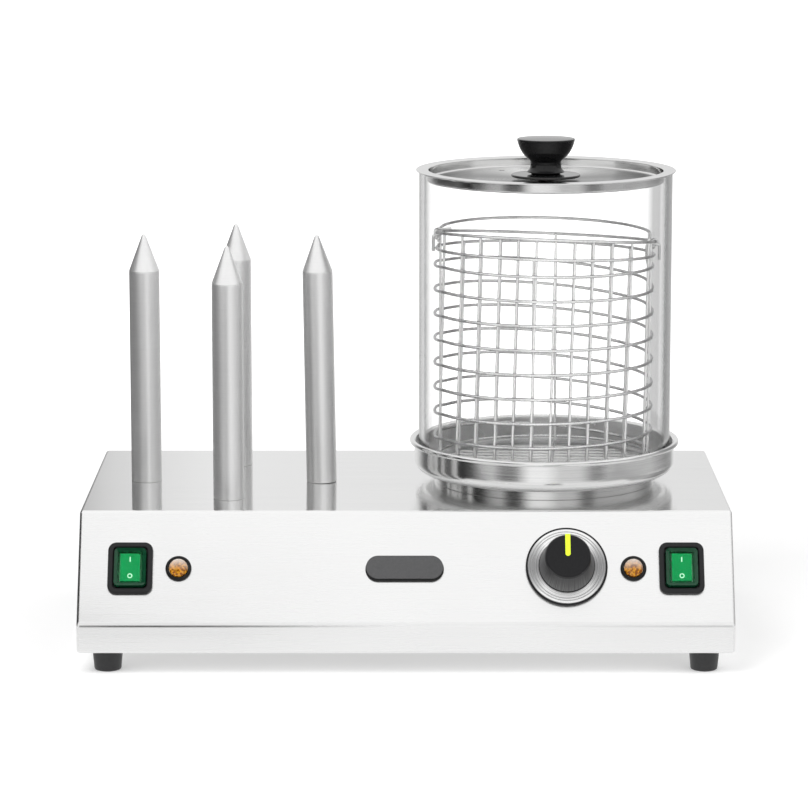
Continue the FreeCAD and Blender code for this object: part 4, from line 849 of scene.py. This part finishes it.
def buildBasket():
    wire, thick = basket["wire"], basket["thick"]
    fronts, backs, floor, rings = bmesh.new(), bmesh.new(), bmesh.new(), bmesh.new()
    cross, long = basket["crossHigh"], basket["longHigh"]
    for k, ((low, top), (behind, above)) in enumerate(zip(basket["fronts"], basket["backs"])):
        pour(fronts, wireRun((low, -depthAt(low), cross), (top, -depthAt(top), slopeHigh("top", top, -depthAt(top))),
                             wire), caged)
        backTop = slopeHigh("top" if k in (0, 6) else "hoop", above, depthAt(above))
        if k == 5:    # this one ends at the wound wire
            backTop = windHigh(7, above, False)
        pour(backs, wireRun((behind, depthAt(behind), cross), (above, depthAt(above), backTop), wire), caged)
        pour(floor, wireRun((low, -depthAt(low), long), (behind, depthAt(behind), long), wire), caged)
        for turn in range(winding["turns"]):    # a spot weld where each upright meets the wound wire
            if k == 0:
                continue
            for isFront, foot, head in ((True, low, top), (False, behind, above)):
                middle = windHigh(turn, foot, isFront)
                x = foot + (head - foot) * (middle - cross) / 180
                y = -depthAt(x) if isFront else depthAt(x)
                high = windHigh(turn, x, isFront)
                bmesh.ops.create_icosphere(rings, subdivisions=1, radius=0.95 * mm,
                                           matrix=caged @ place(x * 1.01, y * 1.01, high))
    for low, top in basket["seams"]:
        pour(fronts, wireRun((low, -depthAt(low), cross), (top, -depthAt(top), slopeHigh("top", top, -depthAt(top))),
                             wire), caged)
    for k in range(-6, 7):
        y = 12.0 * k
        pour(floor, wireRun((-depthAt(y), y, cross), (depthAt(y), y, cross), wire), caged)
    pour(floor, wireRing(basket["footRing"], wire), caged @ place(0, 0, basket["footHigh"]))
    pour(rings, wireRing(basket["ring"], thick), place(towerX, towerY, basket["baseRing"]))
    pour(rings, drawnWire(windingPath(), thick), onTower)
    for turn in range(winding["turns"]):    # small loops that tie the wound wire to the doubled seam
        high = windHigh(turn, basket["ring"], True)
        share = (high - cross) / 180
        x = 80.9 + 1.9 * share
        loop = wireRing(1.75, 0.6, steps=20, sides=8)
        bmesh.ops.scale(loop, vec=(1, 1.7, 1), verts=loop.verts)
        pour(rings, loop, caged @ place(x, -depthAt(x) - 0.6, high) @ turnBy(10, "X"))
    makePiece("basketFrontUprights", fronts, [uprightSteel], "basket", ["basket_front_uprights"], sharp=60)
    makePiece("basketBackUprights", backs, [uprightSteel], "basket", ["basket_back_uprights"], sharp=60)
    makePiece("basketFloor", floor, [uprightSteel], "basket", ["basket_floor"], sharp=60)
    makePiece("basketRings", rings, [wireSteel], "basket", ["basket_rings"], sharp=60)
    for name, node in (("top", "basket_top_ring"), ("hoop", "basket_hoop")):
        bm = wireRing(basket["ring"], thick, steps=128, sides=12)
        bmesh.ops.transform(bm, matrix=slopedRing(name), verts=bm.verts)
        makePiece("basket" + name.title() + "Ring", bm, [wireSteel], "basket", [node], sharp=60)


bail = {"mid": 83.0, "high": 311.1, "bowHigh": 318.6, "fall": 1.2, "pin": {-1: 5.6, 1: 8.0}, "hook": 12.5,
        "ear": 2.6, "bend": 1.8}


def buildBail():
    # a bow whose ends drop inside the top ring, pass through a loop under it and hang down outside
    wire, thick = basket["wire"], basket["thick"]
    ears = bmesh.new()
    for sign in (-1, 1):
        x = towerX + sign * basket["ring"]
        ringHigh = basket["topMid"] - sign * math.tan(math.radians(basket["topFall"])) * basket["ring"]
        pour(ears, wireRing(bail["ear"], wire, steps=28, sides=10),
             place(x, towerY, ringHigh - bail["ear"]) @ turnBy(90, "Y"))
        coil = bmesh.new()    # the wire's end wound round the top ring
        bmesh.ops.create_circle(coil, cap_ends=True, segments=8, radius=0.8 * mm,
                                matrix=Matrix.Translation((1.9 * mm, 0, 0)) @ turnBy(90, "X"))
        bmesh.ops.spin(coil, geom=coil.verts[:] + coil.edges[:] + coil.faces[:], cent=(0, 0, 0), axis=(0, 0, 1),
                       dvec=(0, 0, 1.7 * mm / 20), angle=wholeTurn * 3.25, steps=65, use_merge=False)
        bmesh.ops.recalc_face_normals(coil, faces=coil.faces)
        pour(ears, coil, place(x - 0.95 * sign, towerY - 16.0, ringHigh + 1.6) @ turnBy(-90 - 6 * sign, "X"))
    ringHigh = basket["topMid"] - math.tan(math.radians(basket["topFall"])) * basket["ring"]
    narrow = wireRing(2.3, 0.75, steps=28, sides=8)    # a long narrow loop on the right end
    bmesh.ops.scale(narrow, vec=(1, 3.6, 1), verts=narrow.verts)
    pour(ears, narrow, place(towerX + basket["ring"] - 5.0, towerY - 12.0, ringHigh - 7.4) @ turnBy(90, "X"))
    ringHigh = basket["topMid"] + math.tan(math.radians(basket["topFall"])) * basket["ring"]
    left = towerX - basket["ring"]
    tail = roundedPath([(left + 1.5, towerY - 13, ringHigh + 4.4), (left + 5.0, towerY - 14, ringHigh + 4.2),
                        (left + 12.0, towerY - 15, ringHigh + 4.8)], 1.0, 3)
    pour(ears, drawnWire(tail, 0.8, 8))
    twist = [(left + 2.4 + 0.9 * math.cos(k * 0.8), towerY - 14 + 0.9 * math.sin(k * 0.8), ringHigh + 3.2 - 0.42 * k)
             for k in range(30)]
    pour(ears, drawnWire(twist, 0.75, 8))
    makePiece("bailEars", ears, [wireSteel], "basket", ["bail_ears"], sharp=60)
    handle = bmesh.new()
    path = []
    for k in range(65):
        angle = math.pi * k / 64
        x = bail["mid"] * math.cos(angle)
        path.append((x, bail["mid"] * math.sin(angle), bail["bowHigh"] - math.tan(math.radians(bail["fall"])) * x))
    for sign in (1, -1):
        pinHigh = bail["high"] - sign * math.tan(math.radians(basket["topFall"])) * basket["ring"]
        bowEnd = path[-1] if sign < 0 else path[0]
        tip = sign * (bail["mid"] + bail["pin"][sign])
        corners = [(bowEnd[0], 0.0, pinHigh), (tip, 0.0, pinHigh), (tip, 0.0, pinHigh - bail["hook"])]
        tail = roundedPath([bowEnd] + corners, bail["bend"])[1:]
        path = path + tail if sign < 0 else tail[::-1] + path
    pour(handle, drawnWire(path, thick, 12), onTower)
    makePiece("bailHandle", handle, [wireSteel], "bail", ["bail_handle"], sharp=60)


buildBasket()
buildBail()
print("basket done")

# Rocker switches under soft boots

switch = {"x": 210.0, "wide": 34.2, "tall": 40.8, "out": 3.5, "corner": 6.4, "bootWide": 25.0, "bootTall": 30.8,
          "bootOut": 5.8, "frame": 3.3, "rockerWide": 15.2, "rockerHalf": 10.7, "rockerFace": 3.2, "rise": 1.504}


def buildSwitch(side, x):
    spot = onSlope(x, rowUp)
    bm = plateFace(switch["wide"], switch["tall"], switch["corner"], 8)
    hole = bm.faces[:]
    bmesh.ops.inset_region(bm, faces=hole, thickness=(switch["wide"] - switch["bootWide"] - 0.6) / 2 * mm,
                           use_boundary=True, use_even_offset=True)
    bmesh.ops.delete(bm, geom=hole, context="FACES")
    raised(bm, switch["out"])
    bmesh.ops.transform(bm, matrix=spot, verts=bm.verts)
    makePiece(side + "SwitchBezel", bm, [bezelFinish], "housing", [side + "_switch_bezel"], 1.1, 4)
    bm = plateFace(switch["bootWide"], switch["bootTall"], 3.2, 8)    # dark frame of the boot
    hole = bm.faces[:]
    bmesh.ops.inset_region(bm, faces=hole, thickness=switch["frame"] * mm, use_boundary=True, use_even_offset=True)
    bmesh.ops.delete(bm, geom=hole, context="FACES")
    raised(bm, switch["bootOut"])
    for vert in bm.verts:    # the frame leans in a little and falls away towards the window
        reach = max(abs(vert.co.x) - switch["bootWide"] / 2 * mm, abs(vert.co.y) - switch["bootTall"] / 2 * mm)
        if vert.co.z > 1 * mm and reach < -2.0 * mm:
            vert.co.z -= 1.3 * mm
        elif vert.co.z > 1 * mm:
            vert.co.x *= 0.965
            vert.co.y *= 0.97
    bmesh.ops.transform(bm, matrix=spot, verts=bm.verts)
    inner = [switch["bootWide"] - 2 * switch["frame"] + 0.4, switch["bootTall"] - 2 * switch["frame"] + 0.4]
    pour(bm, plateBlock(*inner, 5.3, 1.2, 4.95), spot, 1)    # clear window over the rocker
    floorPlate = plateFace(*inner, 1.2, 4)
    hole = floorPlate.faces[:]
    bmesh.ops.inset_region(floorPlate, faces=hole, thickness=(inner[0] - switch["rockerWide"] - 0.7) / 2 * mm,
                           use_boundary=True, use_even_offset=True)
    bmesh.ops.delete(floorPlate, geom=hole, context="FACES")
    for vert in floorPlate.verts:    # room for the rocker's ends as it tips
        if abs(vert.co.x) < 8.1 * mm and abs(vert.co.y) < 10.95 * mm:
            vert.co.y *= 1.085
    pour(bm, raised(floorPlate, 2.9), spot)
    makePiece(side + "SwitchBoot", bm, [bootGreen, bootClear], "housing", [side + "_switch_boot"], 0.7, 4)
    half, faceHigh, rise = switch["rockerHalf"], switch["rockerFace"], switch["rise"]
    bm = bmesh.new()
    outline = [(-half, faceHigh), (0, faceHigh), (half, faceHigh + rise), (half, faceHigh + rise - 5.0), (3.0, -4.5),
               (-3.0, -4.5), (-half, faceHigh - 5.0)]
    end = bm.faces.new([bm.verts.new((-switch["rockerWide"] / 2 * mm, y * mm, z * mm)) for y, z in outline])
    made = bmesh.ops.extrude_face_region(bm, geom=[end])
    moved = [item for item in made["geom"] if isinstance(item, bmesh.types.BMVert)]
    bmesh.ops.translate(bm, vec=(switch["rockerWide"] * mm, 0, 0), verts=moved)
    tip = math.degrees(math.atan2(rise, half))
    pour(bm, plateBlock(0.8, 3.8, 0.1, 0.2), place(0, 6.2, faceHigh + rise * 0.58) @ turnBy(tip, "X"), 1)
    mark = wireRing(1.55, 0.38, steps=32, sides=8)
    bmesh.ops.scale(mark, vec=(1, 1, 0.3), verts=mark.verts)
    pour(bm, mark, place(0, -6.6, faceHigh + 0.02), 1)
    bmesh.ops.transform(bm, matrix=spot, verts=bm.verts)
    makePiece(side + "SwitchRocker", bm, [rockerGreen, markWhite], side + "_rocker",
              [side + "_switch_rocker"], 0.25, 2)


buildSwitch("left", -switch["x"])
buildSwitch("right", switch["x"])
print("switches done")

# Pilot lamps

lamp = {"x": 173.3, "ring": 9.95, "lens": 7.25, "out": 6.1}


def buildLamp(side, x):
    spot = onSlope(x, rowUp)
    rim = [(7.4, 0), (lamp["ring"], 0), (lamp["ring"], 0.9)] + arc(lamp["ring"] - 1.5, 1.1, 1.5, 0, 90, 6)
    rim += [(7.9, 2.6), (7.4, 2.2)]
    bm = spun(rim, 64)
    bmesh.ops.transform(bm, matrix=spot, verts=bm.verts)
    makePiece(side + "LampBezel", bm, [sheenBlack], "housing", [side + "_lamp_bezel"], sharp=50)
    dome = [(0, 1.9), (6.3, 1.9), (6.6, 0.2), (7.2, 0.2), (7.25, 2.3), (6.9, 3.6), (5.6, 4.9), (3.8, 5.6), (1.9, 6.0),
            (0, 6.1)]
    bm = spun(dome, 24)
    for vert in bm.verts:    # cut facets: every other corner of a circle stands lower, in turn
        reach = math.hypot(vert.co.x, vert.co.y) / mm
        if vert.co.z > 3 * mm and 1 < reach < 6.5:
            step = round(math.atan2(vert.co.y, vert.co.x) / wholeTurn * 24) + round(reach / 1.9)
            vert.co.z -= 0.55 * mm * (step % 2)
    bmesh.ops.transform(bm, matrix=spot, verts=bm.verts)
    makePiece(side + "LampLens", bm, [lensAmberPaintedReflection], "housing", [side + "_lamp_lens"], sharp=5)
    bm = spun([(0, 0.3), (6.2, 1.7), (6.2, 0.0), (0, 0.0)], 48)
    for vert in bm.verts:    # pleats in the little reflector
        reach = math.hypot(vert.co.x, vert.co.y)
        if vert.co.z > 0.2 * mm and reach > 1 * mm:
            step = round(math.atan2(vert.co.y, vert.co.x) / wholeTurn * 48)
            vert.co.z -= 0.7 * mm * (step % 2)
    bmesh.ops.transform(bm, matrix=spot, verts=bm.verts)
    makePiece(side + "LampDish", bm, [dishBrass], "housing", sharp=10)


buildLamp("left", -lamp["x"])
buildLamp("right", lamp["x"])
print("lamps done")

# Bare plate in the middle of the slope

badge = {"x": -1.0, "wide": 59.8, "tall": 20.2, "thick": 2.9}


def buildBadge():
    bm = bmesh.new()
    spot = onSlope(badge["x"], rowUp)
    pour(bm, plateBlock(badge["wide"], badge["tall"], 1.7, badge["tall"] / 2 - 0.05, rounds=16), spot @ place(0, -0.5))
    tall = badge["tall"] - 1.6
    pour(bm, plateBlock(badge["wide"] - 1.0, tall, badge["thick"], tall / 2 - 0.05, 1.6, 16), spot @ place(0, 0.5), 1)
    makePiece("badgePlate", bm, [sheenBlack, badgeFace], "housing", ["badge_plate"], 0.5, 4)


buildBadge()
print("badge done")

# Thermostat dial and knob

dial = {"x": 122.4, "up": 45.7, "base": 31.2, "ring": 29.7, "skirt": 21.4, "neck": 17.7, "face": 16.7}


def buildDial():
    spot = onSlope(dial["x"], dial["up"])
    base = [(8.6, 0), (dial["base"], 0), (dial["base"], 2.2)] + arc(dial["base"] - 0.8, 2.2, 0.8, 0, 90, 5)
    bm = spun(base + [(8.6, 3.0)], 128)
    bmesh.ops.transform(bm, matrix=spot, verts=bm.verts)
    makePiece("dialBase", bm, [dialBlack], "housing", ["dial_base"], sharp=50)
    ring = [(18.0, 2.9), (dial["ring"], 2.9), (dial["ring"], 3.1), (dial["ring"] - 0.3, 3.4)]
    for groove in (27.4, 25.6):
        ring += [(groove + 0.3, 3.4), (groove + 0.16, 3.1), (groove - 0.16, 3.1), (groove - 0.3, 3.4)]
    bm = spun(ring + [(18.0, 3.4)], 160)
    # painted shade: the grooves and the ring's edges get a darker grey
    for face in bm.faces:
        if 2.95 * mm < face.calc_center_median().z < 3.3 * mm:
            face.material_index = 1
    bmesh.ops.transform(bm, matrix=spot, verts=bm.verts)
    makePiece("dialRing", bm, [dialSilverPaintedFans, groovePaintedShade], "housing", ["dial_ring"], sharp=20)
    low, top = 3.5, 27.6
    knob = [(3.05, low + 5.5), (10.5, low + 5.5), (10.5, low), (dial["skirt"] - 0.3, low), (dial["skirt"], low + 0.3),
            (dial["skirt"], low + 1.2), (dial["skirt"] - 0.5, low + 1.9), (dial["neck"] + 0.15, top - 3.4),
            (dial["neck"], top - 2.5), (dial["neck"] - 0.1, top - 1.6), (dial["face"] + 0.3, top - 0.9),
            (dial["face"] + 0.1, top - 0.5), (dial["face"] - 0.15, top - 0.12), (dial["face"] - 0.55, top),
            (dial["face"] - 1.2, top - 0.1), (6.0, top - 0.25), (0, top - 0.25), (0, low + 18.0), (3.05, low + 18.0)]
    bm = spun(knob, 128)
    for face in bm.faces:
        middle = face.calc_center_median()
        if low + 1.9 < middle.z / mm < top - 0.6 and math.hypot(middle.x, middle.y) > 15 * mm:
            face.material_index = 1
    bmesh.ops.transform(bm, matrix=spot, verts=bm.verts)
    makePiece("thermostatKnob", bm, [dialBlack, knobRibbedPaintedSheen], "knob", ["thermostat_knob"], sharp=40)
    bm = plateBlock(3.9, 17.35, 0.4, 1.85, rounds=6)
    for vert in bm.verts:    # square at the rim, round towards the middle
        if vert.co.y > 0:
            vert.co.x = math.copysign(1.95 * mm, vert.co.x)
            vert.co.y = 17.35 / 2 * mm
    bmesh.ops.remove_doubles(bm, verts=bm.verts, dist=1e-6)
    bmesh.ops.translate(bm, vec=(0, (0.2 + 17.35 / 2) * mm, (top - 0.2) * mm), verts=bm.verts)
    pour(bm, plateBlock(3.9, 0.8, 1.9, 0.1), place(0, dial["face"] + 0.6, top - 1.7))
    bmesh.ops.transform(bm, matrix=spot, verts=bm.verts)
    makePiece("knobPointer", bm, [pointerLimePaintedGlow], "knob", ["knob_pointer"], 0.12, 2)


buildDial()
print("dial done")

# Finishes of the CAD nodes that stay

for node, finish in {
    "base_plate": sheetInside, "rear_panel": sheetSide, "base_screws": zincFinish, "rear_screws": zincFinish,
    "foot_screws": zincFinish, "spike_nuts": zincFinish, "spike_heaters": sheathFinish, "heating_plate": castFinish,
    "plate_element": sheathFinish, "overheat_cutout": mattPlastic, "lid_knob_screw": zincFinish,
    "left_switch_body": mattPlastic, "right_switch_body": mattPlastic, "lamp_bodies": mattPlastic,
    "thermostat_shaft": zincFinish, "thermostat_body": zincFinish, "thermostat_nut": zincFinish,
    "cable_gland": mattPlastic, "gland_nut": mattPlastic, "terminal_block": palePlastic,
}.items():
    repaint(node, finish)
print("finishes set on the CAD nodes")

# Stage: pale floor, soft light, and a wide paper wrap that only the metal sees

stage = {"ambient": 0.62, "key": 26.0, "fill": 9.0, "wrapRadius": 0.60, "wrapLow": 0.30, "wrapHigh": 0.52, "metalWorld": 0.98,
         "metalFloor": 0.93, "throughGlass": 2.2}
wrapTones = [    # degrees from the camera's side, to the right, and how bright the paper looks there
    (-150, 0.93), (-140, 0.85), (-133, 0.66), (-126, 0.42), (-115, 0.32), (-100, 0.34), (-90, 0.40), (-85, 0.36),
    (-80, 0.24), (-72, 0.16), (-65, 0.24), (-60, 0.45), (-54, 0.63), (-44, 0.71), (-40, 0.52), (-35, 0.27),
    (-28, 0.27), (-24, 0.45), (-19, 0.80), (-13, 1.0), (-1, 1.0), (6, 0.92), (12, 0.80), (27, 0.80), (38, 0.44),
    (44, 0.46), (52, 0.68), (98, 0.73), (110, 0.64), (125, 0.55), (140, 0.64), (153, 0.90),
]
glassTones = [    # the same for rays that only pass through glass
    (0, 1.22), (152, 1.22), (158, 1.0), (159.5, 0.95), (160, 0.80), (164.2, 0.80), (164.8, 1.22),
]


def lightPath(tree, *names):
    path = tree.nodes.new("ShaderNodeLightPath")
    seen = path.outputs[names[0]]
    for name in names[1:]:
        seen = combined(tree, seen, path.outputs[name], "MAXIMUM")
    return seen


def mirrored(tree):
    # 1 once a ray has met shiny metal or glass
    return combined(tree, lightPath(tree, "Glossy Depth"), 0.5, "GREATER_THAN")


def behindGlass(tree):
    # the lamps don't reach through the glass, so what soft light does pass through it is raised instead
    soft = combined(tree, lightPath(tree, "Diffuse Depth"), 0.5, "GREATER_THAN")
    return spread(tree, combined(tree, soft, lightPath(tree, "Is Transmission Ray")), 1.0, stage["throughGlass"], 0, 1)


def buildWorld():
    world = bpy.data.worlds.new("studio")
    scene.world = world
    world.use_nodes = True
    tree = world.node_tree
    shader = tree.nodes["Background"]
    shader.inputs["Color"].default_value = (1, 1, 1, 1)
    seen = lightPath(tree, "Is Camera Ray", "Is Glossy Ray", "Is Transmission Ray")
    plain = spread(tree, seen, stage["ambient"], 1.0, 0, 1)
    level = spread(tree, mirrored(tree), 1.0, stage["metalWorld"], 0, 1)
    tree.links.new(combined(tree, combined(tree, plain, level), behindGlass(tree)), shader.inputs["Strength"])


def buildFloor():
    bm = bmesh.new()
    bmesh.ops.create_grid(bm, x_segments=2, y_segments=2, size=30.0)
    data = bpy.data.meshes.new("floor")
    bm.to_mesh(data)
    bm.free()
    floor = bpy.data.objects.new("floor", data)
    scene.collection.objects.link(floor)
    material = bpy.data.materials.new("paleFloor")
    material.use_nodes = True
    tree = material.node_tree
    tree.nodes.remove(tree.nodes["Principled BSDF"])
    base = tree.nodes.new("ShaderNodeBsdfDiffuse")
    base.inputs["Color"].default_value = (0.84, 0.84, 0.84, 1)
    glow = tree.nodes.new("ShaderNodeEmission")
    away = distanceOf(tree, mapped(tree))
    paler = spread(tree, away, 0.30, 1.0, 0.6, 1.8)
    tree.links.new(combined(tree, lightPath(tree, "Is Camera Ray", "Is Transmission Ray"), paler),
                   glow.inputs["Strength"])
    both = tree.nodes.new("ShaderNodeAddShader")
    tree.links.new(base.outputs[0], both.inputs[0])
    tree.links.new(glow.outputs[0], both.inputs[1])
    steady = tree.nodes.new("ShaderNodeEmission")
    steady.inputs["Strength"].default_value = stage["metalFloor"]
    either = tree.nodes.new("ShaderNodeMixShader")
    tree.links.new(mirrored(tree), either.inputs[0])
    tree.links.new(both.outputs[0], either.inputs[1])
    tree.links.new(steady.outputs[0], either.inputs[2])
    tree.links.new(either.outputs[0], tree.nodes["Material Output"].inputs["Surface"])
    data.materials.append(material)


def tonesAround(tree, turned, tones):
    shades = tree.nodes.new("ShaderNodeValToRGB")
    ramp = shades.color_ramp.elements
    stops = sorted(((0.25 + degrees / 360) % 1.0, tone ** 2.2) for degrees, tone in tones)
    ramp[0].position, ramp[1].position = stops[0][0], stops[-1][0]
    for position, _ in stops[1:-1]:
        ramp.new(position)
    for element, (_, tone) in zip(ramp, stops):
        element.color = (tone, tone, tone, 1)
    tree.links.new(turned, shades.inputs["Fac"])
    return shades.outputs["Color"]


def buildWrap():
    # a standing ring of grey and white paper round the object, which only its polished metal shows
    bm = bmesh.new()
    bmesh.ops.create_circle(bm, cap_ends=False, segments=128, radius=stage["wrapRadius"],
                            matrix=Matrix.Translation((towerX * mm, towerY * mm, 0.0005)))
    made = bmesh.ops.extrude_edge_only(bm, edges=bm.edges[:])
    for vert in made["geom"]:    # low in front, so that the slope only mirrors the white above it
        if isinstance(vert, bmesh.types.BMVert):
            aside = (vert.co.y - towerY * mm) / stage["wrapRadius"]
            vert.co.z += stage["wrapLow"] + (stage["wrapHigh"] - stage["wrapLow"]) * easedIn(aside, -0.4, 0.0)
    data = bpy.data.meshes.new("paperWrap")
    bm.to_mesh(data)
    bm.free()
    wrap = bpy.data.objects.new("paperWrap", data)
    scene.collection.objects.link(wrap)
    wrap.visible_camera = False
    wrap.visible_diffuse = False
    wrap.visible_shadow = False
    material = bpy.data.materials.new("paperWrap")
    material.use_nodes = True
    tree = material.node_tree
    tree.nodes.remove(tree.nodes["Principled BSDF"])
    glow = tree.nodes.new("ShaderNodeEmission")
    around = tree.nodes.new("ShaderNodeTexGradient")
    around.gradient_type = "RADIAL"
    tree.links.new(mapped(tree, centre=(towerX, towerY, 0)), around.inputs["Vector"])
    shades = [tonesAround(tree, around.outputs["Fac"], tones) for tones in (glassTones, wrapTones)]
    tree.links.new(blended(tree, mirrored(tree), *shades), glow.inputs["Color"])
    tree.links.new(behindGlass(tree), glow.inputs["Strength"])
    clear = tree.nodes.new("ShaderNodeBsdfTransparent")
    either = tree.nodes.new("ShaderNodeMixShader")
    tree.links.new(combined(tree, mirrored(tree), lightPath(tree, "Is Transmission Ray"), "MAXIMUM"), either.inputs[0])
    tree.links.new(clear.outputs[0], either.inputs[1])
    tree.links.new(glow.outputs[0], either.inputs[2])
    tree.links.new(either.outputs[0], tree.nodes["Material Output"].inputs["Surface"])
    data.materials.append(material)


def addLight(name, power, size, spot, aim, glossy):
    data = bpy.data.lights.new(name, "AREA")
    data.energy = power
    data.shape = "DISK"
    data.size = size
    light = bpy.data.objects.new(name, data)
    scene.collection.objects.link(light)
    light.location = spot
    light.rotation_euler = (Vector(aim) - Vector(spot)).to_track_quat("-Z", "Y").to_euler()
    light.visible_glossy = glossy
    light.visible_transmission = False


def addCamera():
    data = bpy.data.cameras.new("camera")
    data.sensor_width = 36.0
    data.lens = 159.37
    data.clip_start = 0.05
    camera = bpy.data.objects.new("camera", data)
    scene.collection.objects.link(camera)
    camera.location = (-0.00149, -2.789064, 0.67724)
    camera.rotation_euler = (math.radians(79.95), 0, 0)
    scene.camera = camera
    bpy.context.scene.camera = camera


buildWorld()
buildFloor()
buildWrap()
addLight("keyLight", stage["key"], 1.6, (-0.9, -1.3, 2.0), (0, 0, 0.1), False)
addLight("fillLight", stage["fill"], 1.4, (1.4, -0.6, 1.6), (0, 0, 0.1), False)
addCamera()
scene.view_settings.view_transform = "Standard"
print("stage done")
